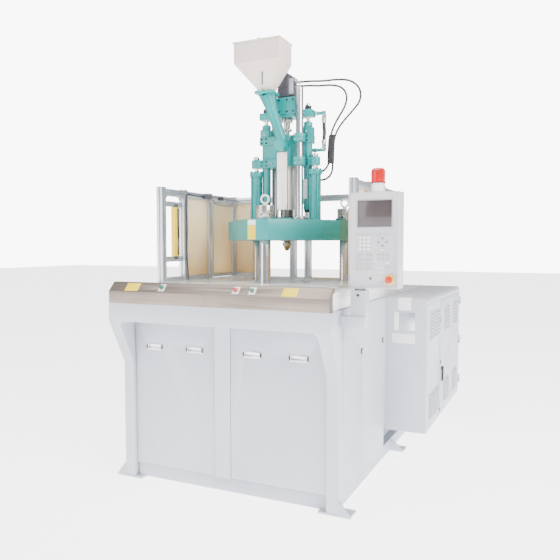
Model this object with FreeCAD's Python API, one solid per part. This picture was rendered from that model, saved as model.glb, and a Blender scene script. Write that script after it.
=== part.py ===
"""Vertical rotary-table injection moulding machine, one STEP file per sub-part, in millimetres.

Frame: the origin lies on the floor at the centre of the four corner anchor holes, +X to the
machine's right, +Y to its back, +Z up. The operator stands at -Y. The clamp is shown open, the
injection unit down on its stop. Three tie bars carry the upper platen, and the front one passes
through the middle of the rotary table.
"""
import FreeCAD
import Part
import math
import os

V = FreeCAD.Vector
os.makedirs("parts", exist_ok=True)

# ---- fits ----
RUN = 0.05          # radial running clearance of a shaft in its bore
GAP = 0.3           # clearance between fixed pieces with curved faces
JOINT_GAP = 3.0     # visible seam between neighbouring sheet covers

# ---- base ----
half_w = 702.0      # outer face of the side covers
front_y = -1128.0   # front face of the portal posts
rear_y = 1128.0
base_top = 1105.0   # top of the covers
sheet = 3.0         # folded sheet thickness
tray_depth = 18.0   # flange depth of a folded cover
beam_h = 78.0
beam_w = 60.0
pad_t = 12.0        # foot plate thickness, under the beams
frame_w = half_w - tray_depth - GAP    # outer face of the welded frame
col = 60.0          # square column
member_wall = 6.0
foot_out = 68.0     # how far a foot stands out of the side
foot_in = 40.0      # how far a foot plate reaches in past the beam
foot_len = 100.0
foot_h = 84.0
anchor_r = 11.0
anchor_in = 32.0    # anchor hole centre to the foot's outer edge
anchor_y = 1080.0
mid_foot_y = 88.0

# ---- front portal ----
portal_back = -1060.0
head_front = -1266.0
head_z0 = 997.0
knee_z = 730.0
cheek_over = 3.0    # the cheeks stand this far outside the covers
cheek_w = 72.0
portal_wall = 4.0
door_front = -1108.0
door_z0 = 95.0
mullion_x0 = -66.0  # the centre post between the two front doors
mullion_x1 = 36.0
door_depth = 20.0
handle_w = 107.0
handle_h = 37.0
handle_z = 830.0
handle_xs = (-490.0, -205.0, 178.0, 464.0)

# ---- clamp ----
tie_front_y = -580.0
tie_rear_x = 346.0
tie_rear_y = -8.0
tie_r = 37.0
tie_rear_r = 35.0
tie_thread = 64.0    # tie bar standing above the platen
bed_z0 = 975.0
bed_t = 140.0
bed_half_w = 470.0
bed_y0 = -940.0
bed_y1 = 110.0
bush_t = 8.0
table_r = 600.0
table_t = 50.0
table_top = 1206.0
table_hole_r = 70.0
mould_hole_dx = 175.0
mould_hole_dy = 120.0
deck_top = 1200.0
deck_t = 6.0
deck_half_w = half_w - 14.0
deck_y0 = -1214.0
deck_y1 = 262.0
deck_slot = 5.0     # ring gap round the rotary table
bearing_r = 250.0
bearing_in_r = 190.0
platen_z0 = 1480.0
platen_t = 133.0
platen_nose = 75.0
platen_front = -690.0
platen_half_w = 420.0
platen_shoulder = -318.0
platen_rear = 90.0
nut_r = 57.0
nut_h = 90.0
eye_r = 33.0
eye_wire = 6.5
cyl_y = -199.0
clamp_cyl_r = 150.0
clamp_cyl_len = 330.0
ram_r = 100.0
tail_t = 110.0
tail_top = 560.0
tail_half_w = 402.0

# ---- table drive ----
gear_m = 8.0
ring_teeth = 80
pinion_teeth = 16
gear_t = 40.0
pinion_angle = 225.0

# ---- injection unit ----
inj_y = -232.0
barrel_r = 45.0
bore_r = 18.0
nozzle_tip = 1408.0
barrel_z0 = 1475.0
house_z0 = 1985.0
house_z1 = 2196.0
house_flange = 55.0
guide_r = 25.0
guide_dx = 128.0
guide_dy = 81.0
guide_top = 2500.0
inj_x = 157.0       # injection cylinder axis, left and right
inj_r = 30.0
inj_z0 = 1690.0
inj_z1 = 2280.0
inj_rod_r = 12.0
inj_bore = 23.0
car_x = 222.0       # carriage cylinder axis, left and right
car_y = -262.0
car_r = 33.0
car_rod_r = 14.0
car_bore = 25.0
car_top = 1960.0
cross_z0 = 2318.0
cross_z1 = 2450.0
cross_half_w = 92.0
cross_front = -300.0
cross_back = -164.0
ear_t = 46.0
drive_r = 22.0
guard_z0 = 1690.0
guard_z1 = 2079.0
guard_wall = 2.0

# ---- feed ----
spout_x = -73.0
spout_y = -400.0
seat_z = 2452.0
seat_t = 18.0
throat_x = 5.0
throat_y = -322.0
throat_z = 2165.0
chute_r = 36.0
chute_wall = 5.0
hop_x0 = -270.0
hop_x1 = 62.0
hop_depth = 200.0
hop_z1 = 2788.0
hop_skirt = 134.0
hop_wall = 2.5
lid_t = 4.0

# ---- guards on the deck ----
prof = 45.0
guard_x = deck_half_w - 24.0    # middle of the side guards' posts
guard_front_y = -782.0
guard_bay_y = -522.0
guard_stile_y = -192.0
guard_rear_y = 205.0
guard_top = 1828.0
rear_stile_x = 400.0
sheet_amber = 5.0
curtain_z0 = 1371.0
curtain_z1 = 1706.0

# ---- cabinet ----
cab_x0 = half_w + GAP
cab_x1 = cab_x0 + 269.7
cab_y0 = -210.0
cab_y1 = 1124.0
cab_z0 = 225.0
cab_z1 = 1104.0
cab_seam = 255.0
cab_wall = 3.0

# ---- operator panel ----
arm_z0 = 1022.0
arm_z1 = 1078.0
arm_y0 = -1150.0
arm_y1 = -1070.0
post_x0 = half_w + 60.0     # the upright that carries the panel
post_x1 = half_w + 143.0
hmi_x0 = half_w + 44.0
hmi_x1 = hmi_x0 + 263.0
hmi_y0 = -1106.0
hmi_y1 = -1006.0
hmi_z0 = 1226.0
hmi_z1 = 1718.0
pivot_x = half_w + 101.0
pivot_y = -1060.0
estop_dx = -48.0    # from the panel's right edge
estop_z = 1272.0
beacon_x = hmi_x0 + 138.0
beacon_r = 38.0


def box(x0, x1, y0, y1, z0, z1):
    return Part.makeBox(x1 - x0, y1 - y0, z1 - z0, V(x0, y0, z0))


def cyl(x, y, z0, z1, r):
    return Part.makeCylinder(r, z1 - z0, V(x, y, z0))


def rod(start, end, r):
    """A round bar between two points."""
    way = end.sub(start)
    return Part.makeCylinder(r, way.Length, start, way)


def tube(x, y, z0, z1, r, inner):
    return cyl(x, y, z0, z1, r).cut(cyl(x, y, z0 - 1, z1 + 1, inner))


def prism(points, start, way):
    """A polygon of 3-D points, closed and extruded along way."""
    ring = [V(*p) for p in points]
    return Part.Face(Part.makePolygon(ring + [ring[0]])).extrude(way)


def prism_z(points, z0, z1):
    return prism([(x, y, z0) for x, y in points], z0, V(0, 0, z1 - z0))


def prism_x(points, x0, x1):
    return prism([(x0, y, z) for y, z in points], x0, V(x1 - x0, 0, 0))


def fuse(shapes):
    return shapes[0].multiFuse(shapes[1:]).removeSplitter()


def cut(shape, tools):
    return shape.cut(Part.makeCompound(tools))


def mirror_x(shape):
    return shape.mirror(V(0, 0, 0), V(1, 0, 0))


def both_sides(shape):
    return [shape, mirror_x(shape)]


def tray(x0, x1, y0, y1, z0, z1, side, wall=sheet):
    """A folded cover: a thin face with flanges, open on the side named."""
    grow = {"+x": (1, 0, 0), "-x": (-1, 0, 0), "+y": (0, 1, 0), "-y": (0, -1, 0), "-z": (0, 0, -1)}
    dx, dy, dz = grow[side]
    low = [x0 + wall, y0 + wall, z0 + wall]
    high = [x1 - wall, y1 - wall, z1 - wall]
    for axis, step in enumerate((dx, dy, dz)):
        if step > 0:
            high[axis] += 2 * wall
        if step < 0:
            low[axis] -= 2 * wall
    return box(x0, x1, y0, y1, z0, z1).cut(box(low[0], high[0], low[1], high[1], low[2], high[2]))


def save(node, shapes):
    solids = []
    for shape in shapes if isinstance(shapes, list) else [shapes]:
        solids += shape.Solids
    for solid in solids:
        if not solid.isValid():
            print("not valid:", node)
    whole = solids[0] if len(solids) == 1 else Part.makeCompound(solids)
    whole.exportStep("parts/" + node + ".step")
    print(node, len(solids), "solids", round(whole.Volume / 1e6, 3), "litres")


# ---------------------------------------------------------------- base
beam_z1 = pad_t + beam_h
frame_front = -1100.0
frame_rear = rear_y - tray_depth - GAP
frame_top = base_top - tray_depth - GAP
mid_rail_y = -460.0  # cross rail ahead of the clamp cylinder
tank_beam_y = 270.0
anchor_x = half_w + foot_out - anchor_in


def foot(y, step, rib_x):
    """A welded foot: a plate with an anchor hole and a sloping gusset that starts at rib_x."""
    y0 = y - foot_len / 2
    plate = box(frame_w - beam_w - foot_in, half_w + foot_out, y0, y0 + foot_len, 0, pad_t)
    slope = [(rib_x, pad_t), (rib_x, foot_h), (rib_x + 6, foot_h), (half_w + foot_out, pad_t)]
    rib = prism([(x, y0, z) for x, z in slope], y0, V(0, 8, 0))
    if step < 0:
        rib.translate(V(0, foot_len - 8, 0))
    return fuse([plate, rib]).cut(cyl(anchor_x, y, -1, pad_t + 1, anchor_r))


def member(x0, x1, y0, y1, z0, z1):
    """A box-section member with closed ends."""
    w = member_wall
    return box(x0, x1, y0, y1, z0, z1).cut(box(x0 + w, x1 - w, y0 + w, y1 - w, z0 + w, z1 - w))


def base_frame():
    """Welded box-section frame: two long beams, cross beams, columns and rails under the bed."""
    parts = []
    beam = member(frame_w - beam_w, frame_w, portal_back + 2, frame_rear, pad_t, beam_z1)
    parts.append(beam)
    for y in (portal_back + 2, mid_rail_y, tank_beam_y + beam_w, frame_rear - col):
        top = bed_z0 if y < 0 else frame_top
        parts.append(member(frame_w - col, frame_w, y, y + col, beam_z1, top))
    parts.append(member(frame_w - col, frame_w, portal_back + 2, mid_rail_y, bed_z0 - col, bed_z0))
    parts.append(member(frame_w - col, frame_w, tank_beam_y + beam_w, frame_rear, frame_top - col, frame_top))
    for y, step, rib_x in ((-anchor_y, 1, half_w + cheek_over + GAP), (mid_foot_y, 1, frame_w),
                           (anchor_y, -1, frame_w)):
        parts.append(foot(y, step, rib_x))
    side = fuse(parts)
    cross = []
    for y in (frame_front, mid_rail_y, tank_beam_y, frame_rear - beam_w):
        cross.append(member(-frame_w + beam_w, frame_w - beam_w, y, y + beam_w, pad_t, beam_z1))
    for y in (portal_back + 2, mid_rail_y):
        cross.append(member(-frame_w + col, frame_w - col, y, y + col, bed_z0 - col, bed_z0))
    rails = []
    for x in (-bed_half_w, bed_half_w - col):
        rails.append(member(x, x + col, portal_back + 2 + col, bed_y1, bed_z0 - col, bed_z0))
    cross.append(member(-bed_half_w, bed_half_w, bed_y1 - col, bed_y1, bed_z0 - col, bed_z0))
    for x in (-bed_half_w, bed_half_w - col):
        cross.append(member(x, x + col, bed_y1 - col, bed_y1, beam_z1, bed_z0 - col))
        cross.append(member(x, x + col, bed_y1 - col, tank_beam_y, pad_t, beam_z1))
    return fuse([side, mirror_x(side)] + cross + rails)


def front_portal():
    """Two posts and a head of folded sheet, welded, with cheeks that slope out to the head."""
    out = half_w + cheek_over
    profile = [(front_y, pad_t), (portal_back, pad_t), (portal_back, base_top),
               (head_front, base_top), (head_front, head_z0), (front_y, knee_z)]
    cheek = prism_x(profile, out - cheek_w, out)
    room = [(front_y + portal_wall, pad_t - 1), (portal_back + 1, pad_t - 1),
            (portal_back + 1, base_top - portal_wall), (head_front + portal_wall, base_top - portal_wall),
            (head_front + portal_wall, head_z0 + portal_wall), (front_y + portal_wall, knee_z + portal_wall)]
    hollow = prism_x(room, out - cheek_w + portal_wall, out - portal_wall)
    inner = out - cheek_w
    head = box(-inner, inner, head_front, portal_back, head_z0, base_top)
    head_room = box(-inner - 1, inner + 1, head_front + portal_wall, portal_back + 1,
                    head_z0 + portal_wall, base_top - portal_wall)
    corner_r = 38.0
    corner = box(inner - corner_r, inner, head_front, front_y, head_z0 - corner_r, head_z0)
    round_cut = Part.makeCylinder(corner_r, front_y - head_front + 2,
                                  V(inner - corner_r, head_front - 1, head_z0 - corner_r), V(0, 1, 0))
    corner = corner.cut(round_cut)
    under = prism_x([(front_y, head_z0 + 1), (head_front, head_z0 + 1), (head_front, head_z0),
                     (front_y, knee_z)], inner - corner_r - 1, inner + 1)
    corner = corner.common(under)
    mullion = box(mullion_x0, mullion_x1, door_front - 4, portal_back, beam_z1 + 1, head_z0)
    mull_room = box(mullion_x0 + portal_wall, mullion_x1 - portal_wall, door_front - 4 + portal_wall,
                    portal_back + 1, beam_z1, head_z0 - portal_wall)
    shell = fuse([cheek, mirror_x(cheek), head.cut(head_room), mullion.cut(mull_room), corner,
                  mirror_x(corner)])
    hole = Part.makeCylinder(9, 200, V(out - 40, (arm_y0 + arm_y1) / 2, (arm_z0 + arm_z1) / 2), V(1, 0, 0))
    return cut(shell, [hollow, mirror_x(hollow), hole])


def door_span(side):
    inner = half_w + cheek_over - cheek_w - JOINT_GAP
    return (-inner, mullion_x0 - JOINT_GAP) if side < 0 else (mullion_x1 + JOINT_GAP, inner)


def front_doors():
    """Two folded lift-off doors that stand on pegs on the front beam."""
    doors = []
    for side in (-1, 1):
        x0, x1 = door_span(side)
        door = tray(x0, x1, door_front, door_front + door_depth, door_z0, head_z0 - JOINT_GAP, "+y")
        holes = [box(x - handle_w / 2 + 6, x + handle_w / 2 - 6, door_front - 1, door_front + 9,
                     handle_z - handle_h / 2 + 5, handle_z + handle_h / 2 - 5) for x in handle_xs]
        pegs = [box(x - 15, x + 15, frame_front + 1, frame_front + 11, beam_z1 + GAP, door_z0 + 1)
                for x in (x0 + 60, x1 - 60)]
        doors.append(fuse([cut(door, holes)] + pegs))
    return doors


def door_handles():
    """Flush finger cups let into the doors, each open at the front and under its upper lip."""
    cups = []
    for x in handle_xs:
        lip = box(x - handle_w / 2, x + handle_w / 2, door_front - 3, door_front, handle_z - handle_h / 2,
                  handle_z + handle_h / 2)
        cup = box(x - handle_w / 2 + 7, x + handle_w / 2 - 7, door_front, door_front + 17,
                  handle_z - handle_h / 2 + 6, handle_z + handle_h / 2 - 6)
        room = box(x - handle_w / 2 + 9, x + handle_w / 2 - 9, door_front - 4, door_front + 15,
                   handle_z - handle_h / 2 + 8, handle_z + handle_h / 2 - 8)
        cups.append(fuse([lip, cup]).cut(room))
    return cups


cover_z0 = beam_z1 + 10
cover_z1 = base_top - 1
cover_seam_y = -690.0
cover_end_y = -234.0


def side_covers():
    """Folded covers down both sides, hung on the frame with quarter-turn latches."""
    latch_r = 9.0
    covers = []
    y_start = portal_back + JOINT_GAP
    spans = [(y_start, cover_seam_y, cover_z0), (cover_seam_y + JOINT_GAP, cover_end_y, cover_z0),
             (cover_end_y + JOINT_GAP, 400.0, 236.0), (400.0 + JOINT_GAP, rear_y - JOINT_GAP, 236.0)]
    for y0, y1, z0 in spans:
        cover = tray(half_w - tray_depth, half_w, y0, y1, z0, cover_z1, "-x")
        latch = Part.makeCylinder(latch_r + GAP, 40, V(half_w - 20, y1 - 40, handle_z), V(1, 0, 0))
        cover = cover.cut(latch)
        covers += both_sides(cover)
    return covers


def rear_covers():
    back = tray(-half_w + tray_depth + 3, half_w - tray_depth - 3, rear_y - tray_depth, rear_y, cover_z0,
                cover_z1, "-y")
    top_y0 = deck_y1 + JOINT_GAP
    top = tray(-half_w + tray_depth + 3, half_w - tray_depth - 3, top_y0, rear_y - tray_depth - 1,
               base_top - tray_depth, base_top, "-z")
    slots = []
    for i in range(8):
        z = 560.0 + 26 * i
        slots.append(box(-420, -180, rear_y - sheet - 1, rear_y + 1, z, z + 8))
        slots.append(box(180, 420, rear_y - sheet - 1, rear_y + 1, z, z + 8))
    return [cut(back, slots), top]


# ---------------------------------------------------------------- bed, deck, table
bed_z1 = bed_z0 + bed_t
ties = [(0.0, tie_front_y, tie_r), (-tie_rear_x, tie_rear_y, tie_rear_r),
        (tie_rear_x, tie_rear_y, tie_rear_r)]
ring_r = gear_m * ring_teeth / 2
pinion_r = gear_m * pinion_teeth / 2
gear_dist = ring_r + pinion_r + 0.25
pinion_x = gear_dist * math.cos(math.radians(pinion_angle))
pinion_y = tie_front_y + gear_dist * math.sin(math.radians(pinion_angle))
table_z0 = table_top - table_t


def bed_plate():
    """Thick ribbed plate that carries the slewing bearing and guides the tie bars."""
    plate = box(-bed_half_w, bed_half_w, bed_y0, bed_y1, bed_z0, bed_z1)
    holes = [cyl(x, y, bed_z0 - 1, bed_z1 + 1, r + bush_t + GAP) for x, y, r in ties]
    holes.append(cyl(pinion_x, pinion_y, bed_z0 - 1, bed_z1 + 1, 38))
    return cut(plate, holes)


def tie_bar_bushes():
    return [tube(x, y, bed_z0, bed_z1, r + bush_t, r + RUN) for x, y, r in ties]


def slew_bearing():
    z1 = table_z0 - 1.0
    outer = tube(0, tie_front_y, bed_z1, z1, bearing_r, bearing_in_r + 20.0)
    return outer


def rotary_table():
    """Steel disc with tapped fixing holes for the two lower mould halves and a bearing ring below."""
    disc = cyl(0, tie_front_y, table_z0, table_top, table_r)
    ring = cyl(0, tie_front_y, bed_z1 + 1.0, table_z0, bearing_in_r + 20.0 - RUN)
    holes = [cyl(0, tie_front_y, bed_z1, table_top + 1, table_hole_r)]
    station = tie_front_y - inj_y
    for side in (-1, 1):
        for dx in (-mould_hole_dx, mould_hole_dx):
            for dy in (-mould_hole_dy, mould_hole_dy):
                holes.append(cyl(dx, tie_front_y + side * abs(station) + dy, table_top - 24,
                                 table_top + 1, 8))
    return cut(fuse([disc, ring]), holes)


def involute_gear(teeth, bore, z0, z1, x, y, turn, backlash):
    """Spur gear outline with involute flanks, extruded; turn sets where tooth 0 points."""
    r = gear_m * teeth / 2
    base = r * math.cos(math.radians(20))
    tip = r + gear_m * 0.95
    root = r - gear_m * 1.25
    flat = math.pi / (2 * teeth) - backlash / (2 * r)
    inv0 = math.tan(math.radians(20)) - math.radians(20)
    points = []
    for k in range(teeth):
        mid = math.radians(turn) + 2 * math.pi * k / teeth
        flank = []
        for s in range(5):
            rr = max(base, root) + (tip - max(base, root)) * s / 4
            a = math.acos(min(1, base / rr))
            half = flat + inv0 - (math.tan(a) - a)
            flank.append((rr, half))
        first = flank[0][1]
        ring = [(root, -first - 0.002)] + [(rr, -h) for rr, h in flank]
        ring += [(rr, h) for rr, h in reversed(flank)] + [(root, first + 0.002)]
        points += [(x + rr * math.cos(mid + h), y + rr * math.sin(mid + h)) for rr, h in ring]
    return prism_z(points, z0, z1).cut(cyl(x, y, z0 - 1, z1 + 1, bore))


gear_z0 = table_z0 - gear_t
backlash = 0.5


def ring_gear():
    """Toothed ring bolted under the table, round the slewing bearing."""
    return involute_gear(ring_teeth, bearing_r + 12, gear_z0 + 2, table_z0, 0, tie_front_y, 0, backlash)


def table_pinion():
    gear = involute_gear(pinion_teeth, 15, gear_z0 + 4, table_z0 - 2, pinion_x, pinion_y,
                         pinion_angle + 180 + 180.0 / pinion_teeth, backlash)
    shaft = cyl(pinion_x, pinion_y, bed_z0 - 20, table_z0 - 2, 16)
    return fuse([gear, shaft])


def table_motor():
    """Servo motor and gearbox hung under the bed plate."""
    z1 = bed_z0
    gearbox = box(pinion_x - 60, pinion_x + 60, pinion_y - 60, pinion_y + 60, z1 - 110, z1)
    motor = box(pinion_x - 45, pinion_x + 45, pinion_y - 45, pinion_y + 45, z1 - 270, z1 - 110)
    plug = box(pinion_x + 45, pinion_x + 75, pinion_y - 18, pinion_y + 18, z1 - 250, z1 - 214)
    return fuse([gearbox, motor, plug]).cut(cyl(pinion_x, pinion_y, z1 - 22, z1 + 1, 16 + RUN))


def deck():
    """White deck plate with turned-down sides, cut out round the table and the rear tie bars."""
    plate = box(-deck_half_w, deck_half_w, deck_y0, deck_y1, deck_top - deck_t, deck_top)
    skirt = box(deck_half_w - sheet, deck_half_w, deck_y0, deck_y1, base_top, deck_top)
    back = box(-deck_half_w, deck_half_w, deck_y1 - sheet, deck_y1, base_top, deck_top)
    lip = box(deck_half_w - 30, deck_half_w, deck_y0, deck_y1, base_top, base_top + sheet)
    parts = [plate, back] + both_sides(skirt) + both_sides(lip)
    holes = [cyl(0, tie_front_y, deck_top - 30, deck_top + 1, table_r + deck_slot)]
    for x, y, r in ties[1:]:
        holes.append(cyl(x, y, deck_top - 30, deck_top + 1, r + 6))
    return cut(fuse(parts), holes)


apron_x0 = -703.0
apron_x1 = 697.0
apron_top_y = -1216.0
apron_top_z = 1228.0
apron_bend_z = 1175.0
apron_wall = 3.0
slope_dy = apron_top_y - head_front
slope_dz = apron_top_z - apron_bend_z
slope_len = math.hypot(slope_dy, slope_dz)
apron_n = V(0, -slope_dz / slope_len, slope_dy / slope_len)
button_xs = {"left_green_button": -336.0, "red_button": 149.0, "right_green_button": 250.0}
button_r = 12.0
button_travel = 4.0


def apron_point(x, out=0.0):
    """A point of the sloping face's middle line, moved out along its normal."""
    mid = V(x, (apron_top_y + head_front) / 2, (apron_top_z + apron_bend_z) / 2)
    return mid.add(V(apron_n).multiply(out))


def apron():
    """Stainless front rail: upright face, sloping face with the buttons, short top return."""
    outer = [(head_front, base_top + GAP), (head_front, apron_bend_z), (apron_top_y, apron_top_z),
             (apron_top_y + 30, apron_top_z), (apron_top_y + 30, deck_top + GAP),
             (deck_y0 - GAP, deck_top + GAP), (deck_y0 - GAP, base_top + GAP)]
    w = apron_wall
    inner = [(head_front + w, base_top), (head_front + w, apron_bend_z - 1.2),
             (apron_top_y + 1.2, apron_top_z - w), (apron_top_y + 30 - w, apron_top_z - w),
             (apron_top_y + 30 - w, deck_top + GAP + w),
             (deck_y0 - GAP - w, deck_top + GAP + w), (deck_y0 - GAP - w, base_top)]
    shell = prism_x(outer, apron_x0, apron_x1).cut(prism_x(inner, apron_x0 + w, apron_x1 - w))
    holes = []
    for x in button_xs.values():
        holes.append(rod(apron_point(x, -10), apron_point(x, 10), button_r - 2 + GAP))
    return cut(shell, holes)


def push_button(x):
    """Button cap and stem in one moulding; it slides through the apron."""
    stem = rod(apron_point(x, -14), apron_point(x, button_travel + 1), button_r - 2)
    cap = rod(apron_point(x, button_travel + 1), apron_point(x, button_travel + 9), button_r)
    return fuse([stem, cap])


# ---------------------------------------------------------------- clamp
platen_z1 = platen_z0 + platen_t
tail_z0 = tail_top - tail_t


def platen_outline(half, nose, front, shoulder, rear):
    return [(-nose, front), (nose, front), (half, shoulder), (half, rear), (-half, rear), (-half, shoulder)]


def upper_platen():
    """Cast upper platen: nose round the front tie bar, shoulders, flat rear."""
    body = prism_z(platen_outline(platen_half_w, platen_nose, platen_front, platen_shoulder, platen_rear),
                   platen_z0, platen_z1)
    pad = cyl(0, inj_y, platen_z1, platen_z1 + 22, 92)
    holes = [cyl(x, y, platen_z0 - 1, platen_z1 + 1, r + GAP) for x, y, r in ties]
    holes.append(cyl(0, inj_y, platen_z0 - 1, platen_z1 + 30, barrel_r + 8))
    ring = [cyl(80 * math.cos(a), inj_y + 80 * math.sin(a), platen_z0 - 1, platen_z0 + 24, 7)
            for a in (math.pi / 4, 3 * math.pi / 4, 5 * math.pi / 4, 7 * math.pi / 4)]
    body = fuse([body, pad])
    return cut(body, holes + ring)


def tie_bars():
    bars = []
    for x, y, r in ties:
        bars.append(cyl(x, y, tail_z0 - nut_h * 0.8, platen_z1 + tie_thread, r))
    return bars


def tie_bar_nuts():
    """Round castle nuts on the threaded ends, above the platen and below the tail plate."""
    nuts = []
    for x, y, r in ties:
        size = nut_r if y < tie_rear_y else nut_r - 5
        top = tube(x, y, platen_z1, platen_z1 + nut_h, size, r + GAP)
        cap = cyl(x, y, platen_z1 + tie_thread + GAP, platen_z1 + nut_h, r + 2 * GAP)
        nuts.append(fuse([top, cap]))
        nuts.append(tube(x, y, tail_z0 - nut_h * 0.8, tail_z0, size, r + GAP))
    return nuts


def eyebolts():
    """Lifting eyes screwed into the nuts' caps."""
    eyes = []
    for x, y, r in ties:
        base = platen_z1 + nut_h
        collar = cyl(x, y, base, base + 9, 16)
        ring = Part.makeTorus(eye_r - eye_wire, eye_wire, V(x, y, base + 7 + eye_r), V(0, 1, 0))
        eyes.append(fuse([collar, ring]))
    return eyes


def lower_crosshead():
    """Tail plate that ties the three bars together under the clamp cylinder."""
    body = prism_z(platen_outline(tail_half_w, platen_nose, platen_front, platen_shoulder, platen_rear),
                   tail_z0, tail_top)
    return cut(body, [cyl(x, y, tail_z0 - 1, tail_top + 1, r + GAP) for x, y, r in ties])


def clamp_cylinder():
    z0 = bed_z0 - clamp_cyl_len
    body = cyl(0, cyl_y, z0, bed_z0, clamp_cyl_r)
    flange = cyl(0, cyl_y, bed_z0 - 40, bed_z0, clamp_cyl_r + 40)
    port = box(-30, 30, cyl_y + clamp_cyl_r - 30, cyl_y + clamp_cyl_r + 30, bed_z0 - 120, bed_z0 - 60)
    room = cyl(0, cyl_y, z0 - 1, bed_z0 - 45, ram_r + RUN)
    return fuse([body, flange, port]).cut(room)


def clamp_ram():
    """Hollow ram, seated on the tail plate and running in the cylinder."""
    top = bed_z0 - 60
    inner = cyl(0, cyl_y, tail_top + 40, top + 1, ram_r - 25)
    return cyl(0, cyl_y, tail_top, top, ram_r).cut(inner)


# ---------------------------------------------------------------- injection unit
guides = [(guide_dx, inj_y - guide_dy), (-guide_dx, inj_y + guide_dy)]


def guide_bars():
    bars = []
    for x, y in guides:
        bars.append(fuse([cyl(x, y, platen_z1, guide_top, guide_r),
                          cyl(x, y, platen_z1, platen_z1 + 26, 42)]))
    return bars


def carriage_cylinders():
    """Two cylinders standing on the platen that lift the whole injection unit."""
    made = []
    for x in (-car_x, car_x):
        body = cyl(x, car_y, platen_z1, car_top, car_r)
        foot_ring = cyl(x, car_y, platen_z1, platen_z1 + 24, car_r + 7)
        gland = cyl(x, car_y, car_top - 34, car_top, car_r + 4)
        room = cyl(x, car_y, platen_z1 + 20, car_top - 30, car_bore + RUN)
        gland_bore = cyl(x, car_y, car_top - 40, car_top + 1, car_rod_r + RUN)
        made.append(cut(fuse([body, foot_ring, gland]), [room, gland_bore]))
    return made


def carriage_rods():
    rods = []
    for x in (-car_x, car_x):
        rod_z0 = platen_z1 + 26
        piston = cyl(x, car_y, rod_z0, rod_z0 + 40, car_bore)
        shank = cyl(x, car_y, rod_z0 + 40, house_z0 + 40, car_rod_r)
        nut = cyl(x, car_y, house_z0 + 58, house_z0 + 58 + 18, 22)
        top = cyl(x, car_y, house_z0 + 40, house_z0 + 58 + 24, car_rod_r)
        rods.append(fuse([piston, shank, top, nut]))
    return rods


def injection_housing():
    """Cast carriage: two flanges and a throat block that hold the barrel and run on the guide bars."""
    def flange(z0, z1):
        plate = box(-inj_x - 32, inj_x + 32, inj_y - 46, inj_y + 46, z0, z1)
        bosses = [cyl(x, y, z0, z1, guide_r + 15) for x, y in guides]
        webs = [prism_z([(s * 62, inj_y - s * 40), (s * 110, inj_y - s * 40),
                         (s * (guide_dx + 30), inj_y - s * guide_dy),
                         (s * (guide_dx - 30), inj_y - s * (guide_dy + 24))], z0, z1) for s in (1, -1)]
        return [plate] + bosses + webs
    parts = flange(house_z0, house_z0 + house_flange) + flange(house_z1 - house_flange, house_z1)
    for x in (-car_x, car_x):
        parts.append(cyl(x, car_y, house_z0, house_z0 + house_flange, 34))
        parts.append(box(min(x, x * 0.75), max(x, x * 0.75), car_y - 20, inj_y + 20, house_z0,
                         house_z0 + house_flange))
    parts.append(cyl(0, inj_y, house_z0, house_z1, 78))
    parts.append(box(-inj_x - 9, -60, inj_y - 30, inj_y + 30, house_z0, house_z1))
    parts.append(box(60, inj_x - 9, inj_y - 30, inj_y + 30, house_z0, house_z1))
    mouth = rod(V(throat_x, inj_y - 60, throat_z - 42), V(throat_x, throat_y - 12, throat_z - 42), 40)
    parts.append(mouth)
    holes = [cyl(0, inj_y, house_z0 - 1, house_z1 - 20, barrel_r + GAP),
             cyl(0, inj_y, house_z0, house_z1 + 1, 30)]
    holes += [cyl(x, y, house_z0 - 1, house_z1 + 1, guide_r + RUN) for x, y in guides]
    holes += [cyl(s * inj_x, inj_y, house_z0 - 1, house_z1 + 1, inj_r + GAP) for s in (-1, 1)]
    holes += [cyl(x, car_y, house_z0 - 1, house_z0 + house_flange + 1, car_rod_r + GAP)
              for x in (-car_x, car_x)]
    holes.append(rod(V(throat_x, inj_y, throat_z - 42), V(throat_x, throat_y - 13, throat_z - 42), 24))
    return cut(fuse(parts), holes)


def barrel():
    body = cyl(0, inj_y, barrel_z0, house_z1 - 21, barrel_r)
    feed = rod(V(throat_x, inj_y, throat_z - 42), V(throat_x, inj_y - barrel_r - 5, throat_z - 42), 22)
    return cut(body, [cyl(0, inj_y, barrel_z0 - 1, house_z1, bore_r), feed])


def nozzle():
    shape = fuse([Part.makeCone(11, 23, 26, V(0, inj_y, nozzle_tip)),
                  cyl(0, inj_y, nozzle_tip + 26, barrel_z0, 23),
                  Part.makeSphere(11, V(0, inj_y, nozzle_tip + 6))])
    shape = shape.common(cyl(0, inj_y, nozzle_tip, barrel_z0, 40))
    return shape.cut(cyl(0, inj_y, nozzle_tip - 10, barrel_z0 + 1, 3))


def heater_bands():
    bands = []
    for z in (1705.0, 1775.0, 1845.0, 1915.0):
        band = tube(0, inj_y, z, z + 52, barrel_r + 5, barrel_r + GAP)
        bands.append(band.cut(box(-2, 2, inj_y + barrel_r - 4, inj_y + barrel_r + 9, z - 1, z + 53)))
    return bands


def guard_section(grow):
    return [(-38 - grow * 0.4, inj_y - 66 - grow), (38 + grow * 0.4, inj_y - 66 - grow),
            (68 + grow, inj_y - 34 - grow * 0.4), (68 + grow, inj_y + 60), (-68 - grow, inj_y + 60),
            (-68 - grow, inj_y - 34 - grow * 0.4)]


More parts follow.
